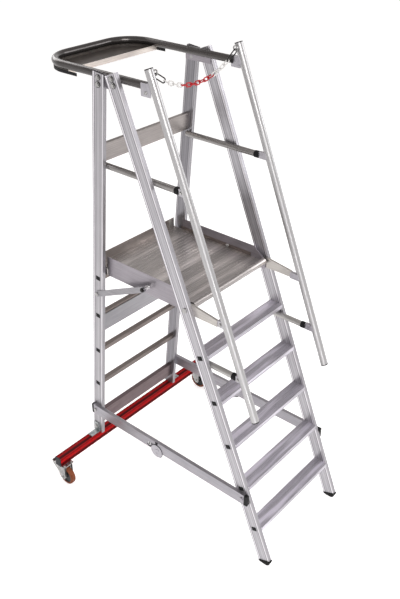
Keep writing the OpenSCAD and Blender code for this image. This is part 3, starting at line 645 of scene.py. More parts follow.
ARM_PLATE = Metal("arm_plate", (0.56, 0.53, 0.5), (0.42, 0.4, 0.38), Grain.FORE_AND_AFT)
SIDE_PLATE = Metal("side_plate", (0.36, 0.335, 0.365), (0.28, 0.26, 0.285), Grain.FORE_AND_AFT, line_depth=0.06)
SPREADER = Metal("spreader_extrusion", (0.41, 0.395, 0.425), (0.29, 0.28, 0.305), Grain.FORE_AND_AFT)
LINK = Metal("link_bar", (0.36, 0.35, 0.37), (0.25, 0.245, 0.26), Grain.FORE_AND_AFT)
RUNG = Metal("rung_tube", (0.24, 0.205, 0.19), (0.16, 0.135, 0.125), Grain.ACROSS)
BOARD = Metal("back_board", (0.42, 0.385, 0.37), (0.31, 0.285, 0.275), Grain.ACROSS)
CROSS_PLATE = Metal("cross_plate", (0.35, 0.34, 0.36), (0.27, 0.265, 0.28), Grain.ACROSS)
CROSSBAR = Metal("crossbar", (0.2, 0.15, 0.155), (0.13, 0.095, 0.1), Grain.ACROSS)
DECK = Metal(
    "deck_plate", (0.5, 0.47, 0.46), (0.28, 0.262, 0.254), Grain.ACROSS, roughness=0.3, streak_pitch=13.0,
    streak_gain=1.5)
TOE_BOARD = Metal("toe_board", (0.4, 0.36, 0.34), (0.27, 0.24, 0.225), Grain.ACROSS, streak_pitch=9.0)
LIP = Metal("tray_lip", (0.95, 0.87, 0.8), (0.66, 0.59, 0.54), Grain.ACROSS, streak_pitch=12.0)
BOLT = Metal("bolt_steel", (0.52, 0.51, 0.5), (0.3, 0.3, 0.3), Grain.UPRIGHT, roughness=0.28)
CHROME = Metal("bright_pin", (0.85, 0.85, 0.84), (0.62, 0.62, 0.62), Grain.ACROSS, roughness=0.18)
DARK_STEEL = Metal(
    "dark_steel", (0.034, 0.032, 0.031), (0.014, 0.014, 0.014), Grain.ACROSS, roughness=0.3, edge_gain=0.0)
GALVANISED = Spangle("galvanised_angle", (0.5, 0.52, 0.52), (0.22, 0.24, 0.25))
ZINC = Spangle("zinc_castor", (0.42, 0.415, 0.41), (0.28, 0.28, 0.28), roughness=0.32, cell=60.0)
# Red paint: the light colour, a dark colour for faint clouds and painted shade in the grooves, and bare metal for
# worn edges.
RED_LIGHT: Colour = (0.52, 0.008, 0.01)
RED_SHADE_AND_CLOUD: Colour = (0.05, 0.002, 0.003)
RED_WORN: Colour = (0.55, 0.02, 0.02)
BLACK_PLUG = Moulding("black_plug", (0.012, 0.012, 0.013), (0.006, 0.006, 0.007))
CAP_GREY = Moulding("grey_end_cap", (0.045, 0.045, 0.05), (0.025, 0.025, 0.028))
RUBBER = Moulding("foot_rubber", (0.014, 0.013, 0.013), (0.007, 0.007, 0.007), roughness=0.72, texture=500.0)
TRAY_SKIN = Moulding("tray_skin", (0.105, 0.09, 0.08), (0.055, 0.047, 0.042), roughness=0.4, shine=0.4)
WHEEL = Moulding("wheel_centre", (0.012, 0.012, 0.012), (0.006, 0.006, 0.006), roughness=0.38, shine=0.25)
TYRE = Moulding("tyre_rubber", (0.28, 0.085, 0.038), (0.17, 0.05, 0.023), roughness=0.55, texture=300.0)
PEDAL = Moulding("brake_pedal", (0.06, 0.009, 0.009), (0.026, 0.004, 0.004), roughness=0.4)
CHAIN_RED = Moulding("red_links", (0.48, 0.01, 0.018), (0.33, 0.007, 0.012), roughness=0.3, shine=0.3)
CHAIN_WHITE = Moulding("white_links", (0.72, 0.71, 0.7), (0.58, 0.57, 0.56), roughness=0.3, shine=0.3)


class Workshop:
    """Makes finishes once and turns meshes into pieces that ride on the frame."""

    def __init__(self, nodes: dict[str, bpy.types.Object]) -> None:
        """Keeps the frame's nodes.

        Args:
            nodes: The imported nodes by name.
        """
        self.nodes = nodes
        self.made: dict[str, Material] = {}

    def material(self, finish: Finish) -> Material:
        """Gives the finish's material, built on first use.

        Args:
            finish: The finish.

        Returns:
            The material.
        """
        if finish.name not in self.made:
            self.made[finish.name] = finish.build()
        return self.made[finish.name]

    def dress(self, table: dict[Finish, Iterable[str]]) -> None:
        """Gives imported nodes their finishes.

        Args:
            table: The nodes that take each finish.
        """
        for finish, names in table.items():
            for name in names:
                mesh = self.nodes[name].data
                mesh.materials.clear()
                mesh.materials.append(self.material(finish))
                LOG.info("dressed %s in %s", name, finish.name)

    def points(self, name: str) -> np.ndarray:
        """Reads the vertex places of a node.

        Args:
            name: The node.

        Returns:
            The places, one row each.
        """
        mesh = self.nodes[name].data
        places = np.zeros(len(mesh.vertices) * 3, np.float32)
        mesh.vertices.foreach_get("co", places)
        return places.reshape(-1, 3).astype(float)

    def span(self, name: str, across: Triple) -> tuple[float, float]:
        """Least and greatest distance of a node's points along a direction."""
        reach = self.points(name) @ np.array(across)
        return float(reach.min()), float(reach.max())

    def islands(self, name: str) -> list[np.ndarray]:
        """Vertex places of each separate solid of a node.

        Args:
            name: The node.

        Returns:
            One array of places for each solid.
        """
        places = self.points(name)
        _, merged = np.unique(np.round(places / (10 * TINY)), axis=0, return_inverse=True)
        merged = merged.reshape(-1)
        root = list(range(int(merged.max()) + 1))

        def top(item: int) -> int:
            """Follows an item to the head of its solid.

            Args:
                item: The item to start from.

            Returns:
                The head.
            """
            while root[item] != item:
                root[item] = root[root[item]]
                item = root[item]
            return item

        for polygon in self.nodes[name].data.polygons:
            first = top(int(merged[polygon.vertices[0]]))
            for vertex in polygon.vertices[1:]:
                root[top(int(merged[vertex]))] = first
        heads = np.array([top(int(item)) for item in merged])
        return [places[heads == head] for head in np.unique(heads)]

    def solids(self, name: str) -> list[Box]:
        """Boxes of a node's separate solids."""
        return [Box(Vector(part.min(0)), Vector(part.max(0))) for part in self.islands(name)]

    def whole(self, name: str) -> Box:
        """Box of a whole node."""
        return Box(*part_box(name))

    def piece(self, name: str, mesh: Mesh, finish: Finish, body: str, slot: str) -> None:
        """Turns a mesh into a piece that rides on a body.

        Args:
            name: Name of the piece.
            mesh: The mesh, used up by the call.
            finish: Finish of the piece.
            body: Body that carries the piece.
            slot: Slot of the record that the finish belongs to; not used.
        """
        bmesh.ops.recalc_face_normals(mesh, faces=mesh.faces)
        data = bpy.data.meshes.new(name)
        mesh.to_mesh(data)
        mesh.free()
        data.materials.append(self.material(finish))
        data.shade_smooth()
        data.set_sharp_from_angle(angle=SMOOTH_ANGLE)
        piece = bpy.data.objects.new(name, data)
        bpy.context.scene.collection.objects.link(piece)
        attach(piece, body)
        LOG.info("built %s on %s", name, body)


def facing(origin: Vector, axis: Vector) -> Matrix:
    """Place whose Z axis points along a direction.

    Args:
        origin: Origin of the place.
        axis: Direction of its Z axis.

    Returns:
        The place as a matrix.
    """
    return Matrix.Translation(origin) @ axis.to_track_quat("Z", "Y").to_matrix().to_4x4()


def lathe(mesh: Mesh, outline: Outline, place: Matrix, sides: int = 32) -> None:
    """Turns an outline round the Z axis of a place.

    Args:
        mesh: Mesh that takes the shape.
        outline: Radius and height of each point; a closed ring repeats its first point at the end.
        place: Place of the axis.
        sides: Number of sides.
    """
    rings = []
    for radius, height in outline:
        count = 1 if radius < TINY else sides
        turns = [2 * math.pi * step / sides for step in range(count)]
        spots = [Vector((radius * math.cos(turn), radius * math.sin(turn), height)) for turn in turns]
        rings.append([mesh.verts.new(place @ spot) for spot in spots])
    for lower, upper in zip(rings, rings[1:]):
        for step in range(sides):
            after = (step + 1) % sides
            corners = [lower[step % len(lower)], lower[after % len(lower)]]
            corners += [upper[after % len(upper)], upper[step % len(upper)]]
            mesh.faces.new(list(dict.fromkeys(corners)))
    bmesh.ops.remove_doubles(mesh, verts=mesh.verts, dist=TINY)


def prism(mesh: Mesh, outline: Outline, length: float, place: Matrix, bevel: float = 0.0) -> None:
    """Raises an outline along the Z axis of a place and rounds its edges.

    Args:
        mesh: Mesh that takes the shape.
        outline: Corners of the outline in X and Y.
        length: Height of the prism.
        place: Place of the prism.
        bevel: Width of the rounding.
    """
    lower = [mesh.verts.new(place @ Vector((x, y, 0))) for x, y in outline]
    upper = [mesh.verts.new(place @ Vector((x, y, length))) for x, y in outline]
    faces = [mesh.faces.new(lower), mesh.faces.new(upper)]
    count = len(outline)
    for step in range(count):
        after = (step + 1) % count
        faces.append(mesh.faces.new((lower[step], lower[after], upper[after], upper[step])))
    if bevel > 0:
        edges = list({edge for face in faces for edge in face.edges})
        bmesh.ops.bevel(mesh, geom=edges, offset=bevel, segments=2, affect="EDGES", profile=0.6)


def bar(mesh: Mesh, low: Vector, high: Vector, bevel: float) -> None:
    """Box between two corners with rounded edges.

    Args:
        mesh: Mesh that takes the shape.
        low: Lowest corner.
        high: Highest corner.
        bevel: Width of the rounding.
    """
    outline = [(low.x, low.y), (high.x, low.y), (high.x, high.y), (low.x, high.y)]
    prism(mesh, outline, high.z - low.z, Matrix.Translation((0, 0, low.z)), bevel)


def rounded_outline(width: float, height: float, radius: float, steps: int = 5) -> list[tuple[float, float]]:
    """Outline of a rectangle with round corners about the origin.

    Args:
        width: Length in X.
        height: Length in Y.
        radius: Radius of the corners.
        steps: Steps in each corner.

    Returns:
        The corners in order.
    """
    points = []
    for quarter, (sx, sy) in enumerate(((1, 1), (-1, 1), (-1, -1), (1, -1))):
        middle = (sx * (width / 2 - radius), sy * (height / 2 - radius))
        for step in range(steps + 1):
            turn = math.pi / 2 * (quarter + step / steps)
            points.append((middle[0] + radius * math.cos(turn), middle[1] + radius * math.sin(turn)))
    return points


@dataclass(frozen=True)
class HexBolt:
    """Six-sided bolt head on a washer."""

    across: float = 17 * MM
    height: float = 7 * MM
    washer: float = 11 * MM
    washer_t: float = 1.8 * MM
    rounding: float = 0.9 * MM
    rim_share: float = 0.25
    crown: Stops = ((0.62, 0.0), (0.55, 0.7 * MM), (0.0, 0.9 * MM))

    def add(self, mesh: Mesh, origin: Vector, axis: Vector) -> None:
        """Adds the head.

        Args:
            mesh: Mesh that takes the head.
            origin: Foot of the washer.
            axis: Direction that the head points to.
        """
        place = facing(origin, axis)
        rim = self.washer_t * self.rim_share
        lathe(mesh, [
            (0, 0), (self.washer, 0), (self.washer, self.washer_t - rim),
            (self.washer - rim, self.washer_t), (0, self.washer_t),
        ], place)
        radius = self.across / math.sqrt(3)
        corners = [math.pi / 3 * step for step in range(6)]
        outline = [(radius * math.cos(turn), radius * math.sin(turn)) for turn in corners]
        head = place @ Matrix.Translation((0, 0, self.washer_t))
        prism(mesh, outline, self.height, head, self.rounding)
        crown = [(radius * share, self.height + rise) for share, rise in self.crown]
        lathe(mesh, [(0, self.height), *crown], head)


@dataclass(frozen=True)
class Rivet:
    """Low round rivet head."""

    radius: float = 6 * MM
    height: float = 2.5 * MM
    foot_share: float = 0.25
    dome_turns: tuple[int, ...] = (0, 20, 40, 60, 78)
    sides: int = 24

    def add(self, mesh: Mesh, origin: Vector, axis: Vector) -> None:
        """Adds the head.

        Args:
            mesh: Mesh that takes the head.
            origin: Foot of the head.
            axis: Direction that the head points to.
        """
        r, h, foot = self.radius, self.height, self.foot_share
        turns = [math.radians(step) for step in self.dome_turns]
        dome = [(r * math.cos(turn), h * (foot + (1 - foot) * math.sin(turn))) for turn in turns]
        lathe(mesh, [(0, 0), (r, 0), *dome, (0, h)], facing(origin, axis), self.sides)


@dataclass(frozen=True)
class RimRing:
    """Raised ring round a bolt or pin."""

    inner: float
    outer: float
    height: float
    lip_share: float = 0.3
    sides: int = 28

    def add(self, mesh: Mesh, origin: Vector, axis: Vector) -> None:
        """Adds the ring.

        Args:
            mesh: Mesh that takes the ring.
            origin: Middle of the ring's foot.
            axis: Direction that the ring faces.
        """
        lip = self.height * self.lip_share
        lathe(mesh, [
            (self.inner, 0), (self.outer, 0), (self.outer, self.height - lip), (self.outer - lip, self.height),
            (self.inner + lip, self.height), (self.inner, self.height - lip), (self.inner, 0),
        ], facing(origin, axis), self.sides)


@dataclass(frozen=True)
class HeadRings:
    """Dark rings round the bolt heads at the tops of two stiles."""

    gap: float = 0.2 * MM
    reach: float = 1.8 * MM
    height: float = 3 * MM

    def build(self, shop: Workshop, bolts: str, stile: str, body: str) -> None:
        """Adds a ring round each bolt head there.

        Args:
            shop: Maker of the pieces.
            bolts: Node with the bolts.
            stile: Name of the stiles without their side.
            body: Body that carries the rings.
        """
        mesh = bmesh.new()
        for box in shop.solids(bolts):
            if box.middle.z < HEAD_FROM:
                continue
            head = box.size.y / 2
            face = shop.whole(f"{stile}_{box.side.word}").outer_x(box.side)
            ring = RimRing(head + self.gap, head + self.reach, self.height)
            ring.add(mesh, Vector((face, box.middle.y, box.middle.z)), box.side.outward)
        shop.piece(f"{stile}_bolt_rings", mesh, DARK_STEEL, body, "steel")


def dress_stiles(shop: Workshop, stile: str, rib: Colour, line: Colour, grain: Grain, inner_share: float) -> None:
    """Gives both stiles of a frame their finish with drawing lines, painted highlights and painted shade.

    Args:
        shop: Maker of the pieces.
        stile: Name of the stiles without their side.
        rib: Colour of the painted highlights along the edges.
        line: Colour of the painted shade and of the drawing lines.
        grain: Direction of the stiles.
        inner_share: Share of painted shade that darkens the inner faces towards the dark colour.
    """
    for side in Side:
        node = f"{stile}_{side.word}"
        span = shop.span(node, grain.across)
        shop.dress({Extrusion(f"{node}_skin", rib, line, grain, side, span, inner_share): [node]})


@dataclass(frozen=True)
class PlugFlange:
    """Flange of a plug on the outer face of a stile."""

    width: float = 31 * MM
    height: float = 25 * MM
    corner: float = 2.5 * MM
    depth: float = 3 * MM
    proud: float = 0.2 * MM
    most: float = 10 * MM
    rounding: float = 0.6 * MM

    def build(self, shop: Workshop, plugs: str, stile: str, body: str, lean: float) -> None:
        """Adds a flange to each plug on a frame's stiles.

        Args:
            shop: Maker of the pieces.
            plugs: Node with the plugs.
            stile: Name of the stiles without their side.
            body: Body that carries the flanges.
            lean: Lean of the stiles.
        """
        mesh = bmesh.new()
        outline = rounded_outline(self.width, self.height, self.corner, 3)
        for box in shop.solids(plugs):
            if box.size.x > self.most:
                continue
            side = box.side
            foot = Vector((box.outer_x(side), box.middle.y, box.middle.z))
            foot -= side.outward * (self.depth - self.proud)
            place = facing(foot, side.outward) @ Matrix.Rotation(side.value * lean, 4, "Z")
            prism(mesh, outline, self.depth, place, self.rounding)
        shop.piece(f"{stile}_plug_flanges", mesh, BLACK_PLUG, body, "black_plastic")


@dataclass
class FrontFrame:
    """Front stiles, treads, handrails, guard rails, tray and what is fixed to them."""

    shop: Workshop
    body: str = "front_frame"
    bracket_bolt: HexBolt = HexBolt(13 * MM, 5 * MM, 9 * MM, 1.5 * MM)
    plate_l: float = 62 * MM
    plate_h: float = 60 * MM
    plate_back: float = 24 * MM
    plate_t: float = 2.5 * MM
    plate_corner: float = 4 * MM
    plate_round: float = 0.6 * MM
    bolt_share: float = 0.3
    bolt_drop: float = 12 * MM
    sleeve_l: float = 22 * MM
    sleeve_t: float = 2.5 * MM
    sleeve_lid: float = 1.5 * MM
    lid_share: float = 0.9
    sleeve_rim: float = 0.8 * MM
    sleeve_gap: float = 0.1 * MM
    rings: HeadRings = HeadRings()
    flange: PlugFlange = PlugFlange()

    def dress(self) -> None:
        """Gives the frame's nodes their finishes."""
        dress_stiles(self.shop, "front_stile", STILE_PAINTED_HIGHLIGHT, STILE_PAINTED_SHADE_AND_LINE, Grain.FRONT_STILE, 0.0)
        self.shop.dress({
            TREAD: [f"step_{level}" for level in range(1, 6)],
            RUBBER: ["foot_left", "foot_right"],
            BLACK_PLUG: ["front_plugs", "tray_edging"],
            BRIGHT_TUBE: ["handrail_left", "handrail_right"],
            BRACKET: ["rail_brackets"],
            KNEE_TUBE: ["knee_rails"],
            DULL_TUBE: ["top_rail"],
            STUB_TUBE: ["lower_stubs"],
            ARM_PLATE: ["platform_arms"],
            SIDE_PLATE: ["head_plates"],
            TRAY_SKIN: ["tray"],
            LIP: ["tray_lip"],
            BOLT: ["front_bolts", "chain_eyes"],
        })

    def build_bracket_bolts(self) -> None:
        """Bolts on the handrail brackets, with a plate under the top rail's bolts."""
        bolts = bmesh.new()
        plates = bmesh.new()
        outline = rounded_outline(self.plate_l, self.plate_h, self.plate_corner)
        for box in self.shop.solids("rail_brackets"):
            side = box.side
            spot = Vector((box.outer_x(side), box.high.y - box.size.y * self.bolt_share, box.middle.z))
            if box.middle.z > HEAD_FROM:
                rail = self.shop.whole("top_rail").outer_x(side)
                foot = Vector((rail, box.middle.y + self.plate_back, box.high.z - self.plate_h / 2))
                prism(plates, outline, self.plate_t, facing(foot, side.outward), self.plate_round)
                spot = foot + side.outward * self.plate_t - Vector((0, 0, self.bolt_drop))
            self.bracket_bolt.add(bolts, spot, side.outward)
        self.shop.piece("bracket_bolts", bolts, BOLT, self.body, "zinc")
        self.shop.piece("rail_end_plates", plates, BRACKET, self.body, "plate_alloy")

    def build_sleeves(self) -> None:
        """Black sleeves on the front ends of the knee rails and the lower stubs."""
        mesh = bmesh.new()
        for node in ("knee_rails", "lower_stubs"):
            for box in self.shop.solids(node):
                inner = box.size.z / 2 + self.sleeve_gap
                outer = inner + self.sleeve_t
                rim = self.sleeve_rim
                lid = self.lid_share * self.sleeve_lid
                foot = Vector((box.middle.x, box.low.y - self.sleeve_lid, box.middle.z))
                lathe(mesh, [
                    (0, 0), (outer - rim, 0), (outer, rim), (outer, self.sleeve_l), (inner, self.sleeve_l),
                    (inner, lid), (0, lid),
                ], facing(foot, Vector((0, 1, 0))))
        self.shop.piece("rail_sleeves", mesh, BLACK_PLUG, self.body, "black_plastic")

    def build(self) -> None:
        """Dresses the frame and adds its pieces."""
        self.dress()
        self.build_bracket_bolts()
        self.build_sleeves()
        self.rings.build(self.shop, "front_bolts", "front_stile", self.body)
        self.flange.build(self.shop, "front_plugs", "front_stile", self.body, Grain.FRONT_STILE.lean)


@dataclass
class RearFrame:
    """Rear stiles, rungs, back board and the base bar."""

    shop: Workshop
    body: str = "rear_frame"
    plate_bolt: HexBolt = HexBolt(13 * MM, 6 * MM, 10 * MM, 1.8 * MM)
    plate_inset: float = 11 * MM
    groove_across: Triple = (0.0, 0.68, 0.73)
    rings: HeadRings = HeadRings()
    flange: PlugFlange = PlugFlange()

    def dress(self) -> None:
        """Gives the frame's nodes their finishes."""
        # The rear stiles take painted shade on their inner faces.
        dress_stiles(self.shop, "rear_stile", REAR_PAINTED_HIGHLIGHT, REAR_PAINTED_SHADE_AND_LINE, Grain.REAR_STILE, 0.6)
        span = self.shop.span("base_bar", self.groove_across)
        red = PowderCoat("red_powder_coat", RED_LIGHT, RED_SHADE_AND_CLOUD, RED_WORN, self.groove_across, span)
        self.shop.dress({
            RUNG: [f"rung_{number}" for number in range(1, 5)],
            CROSS_PLATE: ["cross_plate"],
            CROSSBAR: ["lower_crossbar"],
            BOARD: ["back_board"],
            BLACK_PLUG: ["rear_plugs"],
            BOLT: ["rear_bolts"],
            red: ["base_bar"],
            CAP_GREY: ["base_bar_caps"],
            GALVANISED: ["stile_brackets"],
            ZINC: ["castor_plates"],
        })

    def build_plate_bolts(self) -> None:
        """Bolts at the corners of the castors' top plates."""
        mesh = bmesh.new()
        for box in self.shop.solids("castor_plates"):
            reach_x = box.size.x / 2 - self.plate_inset
            reach_y = box.size.y / 2 - self.plate_inset
            for sx in (-1, 1):
                for sy in (-1, 1):
                    spot = Vector((box.middle.x + sx * reach_x, box.middle.y + sy * reach_y, box.high.z))
                    self.plate_bolt.add(mesh, spot, Vector((0, 0, 1)))
        self.shop.piece("castor_plate_bolts", mesh, BOLT, self.body, "zinc")

    def build(self) -> None:
        """Dresses the frame and adds its pieces."""
        self.dress()
        self.build_plate_bolts()
        self.rings.build(self.shop, "rear_bolts", "rear_stile", self.body)
        self.flange.build(self.shop, "rear_plugs", "rear_stile", self.body, Grain.REAR_STILE.lean)


@dataclass
class Platform:
    """Lifting platform with its side plates and toe board."""

    shop: Workshop
    body: str = "platform"
    strip_h: float = 20 * MM
    strip_t: float = 2 * MM
    strip_front: float = 100 * MM
    strip_round: float = 0.5 * MM
    corner_w: float = 46 * MM
    strip_bolt: HexBolt = HexBolt(15 * MM, 5 * MM, 10 * MM, 1.5 * MM)
    bolt_shares: tuple[float, ...] = (0.32, 0.78)

    def dress(self) -> None:
        """Gives the platform's nodes their finishes."""
        self.shop.dress({
            DECK: ["platform_deck", "deck_nosing"],
            SIDE_PLATE: ["platform_sides"],
            TOE_BOARD: ["toe_board"],
        })

    def build_strips(self) -> None:
        """Angle strips along the inner faces of the side plates, with their bolts."""
        deck = self.shop.whole("platform_deck")
        strips = bmesh.new()
        bolts = bmesh.new()
        for box in self.shop.solids("platform_sides"):
            side = box.side
            wall = deck.outer_x(side)
            inner = wall - side.value * self.strip_t
            front = box.low.y + self.strip_front
            low = Vector((min(wall, inner), front, deck.high.z))
            high = Vector((max(wall, inner), box.high.y - self.strip_t, deck.high.z + self.strip_h))
            bar(strips, low, high, self.strip_round)
            for share in self.bolt_shares:
                spot = Vector((inner, low.y + share * (high.y - low.y), (low.z + high.z) / 2))
                self.strip_bolt.add(bolts, spot, -side.outward)
        self.shop.piece("platform_strips", strips, RUNG, self.body, "plate_alloy")
        self.shop.piece("platform_strip_bolts", bolts, BOLT, self.body, "zinc")

    def build_corners(self) -> None:
        """Corner plates in front of both ends of the toe board."""
        deck = self.shop.whole("platform_deck")
        board = self.shop.whole("toe_board")
        mesh = bmesh.new()
        for side in Side:
            end = board.outer_x(side) - side.value * self.strip_t
            inner = end - side.value * self.corner_w
            low = Vector((min(end, inner), board.low.y - self.strip_t, deck.high.z))
            high = Vector((max(end, inner), board.low.y, board.high.z - self.strip_t))
            bar(mesh, low, high, self.strip_round)
        self.shop.piece("platform_corner_plates", mesh, ARM_PLATE, self.body, "plate_alloy")

    def build(self) -> None:
        """Dresses the platform and adds its pieces."""
        self.dress()
        self.build_strips()
        self.build_corners()


@dataclass
class Linkage:
    """Platform links and folding spreaders on both sides."""

    shop: Workshop
    bar_h: float = 66 * MM
    bar_t: float = 21 * MM
    cap_wrap: float = 7 * MM
    rear_cap_t: float = 3.5 * MM
    front_cap_t: float = 12 * MM
    cap_rim: float = 2 * MM
    hinge_y: float = 22.7 * MM
    hinge_z: float = 380 * MM
    hinge_r: float = 43 * MM
    gasket_over: float = 2.5 * MM
    face_gap: float = 0.4 * MM
    gasket_under: float = 2 * MM
    gasket_t: float = 1.2 * MM
    # Black sheets for the hinge notch are painted shade.
    notch_t: float = 0.9 * MM
    notch_round: float = 0.2 * MM
    rear_notch: Outline = ((0.3, 0), (12, 0), (7, -24), (0.3, -24))
    front_notch: Outline = ((-12, 0), (-2.5, 0), (-2.5, -15), (-6, -15))
    lip_inner: float = 17 * MM
    lip_outer: float = 24 * MM
    lip_t: float = 1 * MM
    lip_turns: tuple[int, ...] = tuple(range(-150, 31, 15))
    rivet_place: tuple[float, float] = (57 * MM, 28 * MM)
    rivet: Rivet = Rivet(7 * MM, 3 * MM)
    rivet_ring: RimRing = RimRing(7 * MM, 11 * MM, 1.5 * MM)
    cap_corner: float = 6 * MM
    cap_round: float = 1.2 * MM
    link_t: float = 6 * MM
    pin_r: float = 8.1 * MM
    pin_ridge: float = 10.5 * MM
    pin_ridges: int = 4
    pin_groove: float = 8.5 * MM
    ridge_shares: tuple[float, ...] = (0.12, 0.62, 0.74, 0.98)
    pin_gap: float = 0.6 * MM
    pin_nut: HexBolt = HexBolt(20 * MM, 5 * MM, 13 * MM, 1.5 * MM)
    pin_washer: RimRing = RimRing(8.1 * MM, 11.5 * MM, 2.5 * MM)

    def dress(self) -> None:
        """Gives the links and spreaders their finishes."""
        for side in Side:
            bars = [f"{end.word}_spreader_{side.word}" for end in End]
            self.shop.dress({LINK: [f"link_{side.word}"], SPREADER: bars})

    def build_cap(self, end: End, side: Side) -> None:
        """Black cap on the outer end of a spreader bar.

        Args:
            end: Which spreader.
            side: Side of the part.
        """
        node = f"{end.word}_spreader_{side.word}"
        box = self.shop.whole(node)
        end_y, proud = box.low.y, self.front_cap_t
        if end is End.REAR:
            end_y, proud = box.high.y, self.rear_cap_t
        middle = Vector((
            box.inner_x(side) + side.value * (self.bar_t + self.cap_rim) / 2,
            end_y - end.value * self.cap_wrap,
            box.high.z - self.bar_h / 2,
        ))
        upright = facing(middle, Vector((0, end.value, 0))) @ Matrix.Rotation(math.pi / 2, 4, "Z")
        outline = rounded_outline(self.bar_h + 2 * self.cap_rim, self.bar_t + self.cap_rim, self.cap_corner)
        mesh = bmesh.new()
        prism(mesh, outline, self.cap_wrap + proud, upright, self.cap_round)
        self.shop.piece(f"{end.word}_spreader_cap_{side.word}", mesh, BLACK_PLUG, node, "black_plastic")

    def hinge_face(self, side: Side) -> float:
        """Place of the outer face of a side's spreader bars."""
        return self.shop.whole(f"rear_spreader_{side.word}").inner_x(side) + side.value * self.bar_t

    def build_cover(self, side: Side) -> None:
        """Round cover with a dark rim on the hinge of a side's spreaders.

        Args:
            side: Side of the part.
        """
        node = f"rear_spreader_{side.word}"
        middle = Vector((self.hinge_face(side) + side.value * self.face_gap, self.hinge_y, self.hinge_z))
        r = self.hinge_r
        gasket = bmesh.new()
        RimRing(r - self.gasket_under, r + self.gasket_over, self.gasket_t).add(gasket, middle, side.outward)
        self.shop.piece(f"hinge_gasket_{side.word}", gasket, BLACK_PLUG, node, "black_plastic")
        cover = bmesh.new()
        lathe(cover, [
            (0, 0.6 * MM), (r, 0.6 * MM), (r, 3 * MM), (r - 1.5 * MM, 4 * MM), (0.72 * r, 4 * MM),
            (0.66 * r, 2.8 * MM), (0.3 * r, 2.8 * MM), (0.28 * r, 5 * MM), (0.2 * r, 5.8 * MM), (0, 6 * MM),
        ], facing(middle, side.outward))
        self.shop.piece(f"hinge_cover_{side.word}", cover, BRACKET, node, "plate_alloy")

    def build_notches(self, side: Side) -> None:
        """Thin black sheet as painted shade of the notch at the meeting ends of a side's spreaders, half of it on
        each bar.

        Args:
            side: Side of the part.
        """
        top = self.shop.whole(f"rear_spreader_{side.word}").high.z
        foot = Vector((self.hinge_face(side), self.hinge_y, top))
        # Each sheet is painted shade of the notch.
        for end, wedge in ((End.REAR, self.rear_notch), (End.FRONT, self.front_notch)):
            notch = bmesh.new()
            corners = [(side.value * along * MM, rise * MM) for along, rise in wedge]
            prism(notch, corners, self.notch_t, facing(foot, side.outward), self.notch_round)
            body = f"{end.word}_spreader_{side.word}"
            self.shop.piece(f"{end.word}_hinge_notch_{side.word}", notch, BLACK_PLUG, body, "black_plastic")

    def build_rivet(self, side: Side) -> None:
        """Rivet with a bright ring and a dark lip near a rear spreader's end.

        Args:
            side: Side of the part.
        """
        node = f"rear_spreader_{side.word}"
        along, rise = self.rivet_place
        spot = Vector((self.hinge_face(side), self.hinge_y + along, self.hinge_z + rise))
        rivet = bmesh.new()
        self.rivet.add(rivet, spot, side.outward)
        self.shop.piece(f"hinge_rivets_{side.word}", rivet, DARK_STEEL, node, "steel")
        ring = bmesh.new()
        self.rivet_ring.add(ring, spot, side.outward)
        self.shop.piece(f"hinge_rivet_rings_{side.word}", ring, CHROME, node, "zinc")
        turns = [math.radians(step) for step in self.lip_turns]
        arc = [(self.lip_outer, turn) for turn in turns] + [(self.lip_inner, turn) for turn in reversed(turns)]
        corners = [(-side.value * radius * math.cos(turn), radius * math.sin(turn)) for radius, turn in arc]
        lip = bmesh.new()
        prism(lip, corners, self.lip_t, facing(spot, side.outward))
        self.shop.piece(f"hinge_lips_{side.word}", lip, BLACK_PLUG, node, "black_plastic")

    def build_pin(self, side: Side) -> None:
        """Ridged sleeve, washers and nut on a platform link's front pin.

        Args:
            side: Side of the part.
        """
        node = f"link_{side.word}"
        solids = sorted(self.shop.solids(node), key=lambda box: box.size.length)
        head, link = solids[0], solids[-1]
        face = link.outer_x(side) - side.value * self.link_t
        start = Vector((face, head.middle.y, head.middle.z))
        run = abs(face - link.inner_x(side))
        washers = bmesh.new()
        for gap in (0.0, run - self.pin_washer.height - self.pin_gap):
            self.pin_washer.add(washers, start - side.outward * gap, -side.outward)
        self.shop.piece(f"link_washers_{side.word}", washers, CHROME, node, "zinc")
        pitch = (run - 2 * self.pin_washer.height - MM) / self.pin_ridges
        outline = [(self.pin_r, 0.0)]
        radii = (self.pin_ridge, self.pin_ridge, self.pin_groove, self.pin_groove)
        for step in range(self.pin_ridges):
            outline += [(r, step * pitch + share * pitch) for r, share in zip(radii, self.ridge_shares)]
        outline += [(self.pin_r, self.pin_ridges * pitch), (self.pin_r, 0.0)]
        sleeve = bmesh.new()
        place = facing(start - side.outward * self.pin_washer.height, -side.outward)
        lathe(sleeve, outline, place, self.pin_washer.sides)
        self.shop.piece(f"link_sleeve_{side.word}", sleeve, CHROME, node, "zinc")
        nut = bmesh.new()
        spot = Vector((head.outer_x(side), head.middle.y, head.middle.z))
        self.pin_nut.add(nut, spot, side.outward)
        self.shop.piece(f"link_nut_{side.word}", nut, DARK_STEEL, node, "zinc")

    def build(self) -> None:
        """Dresses the linkage and adds its pieces."""
        self.dress()
        for side in Side:
            self.build_pin(side)
            self.build_cover(side)
            self.build_notches(side)
            self.build_rivet(side)
            for end in End:
                self.build_cap(end, side)


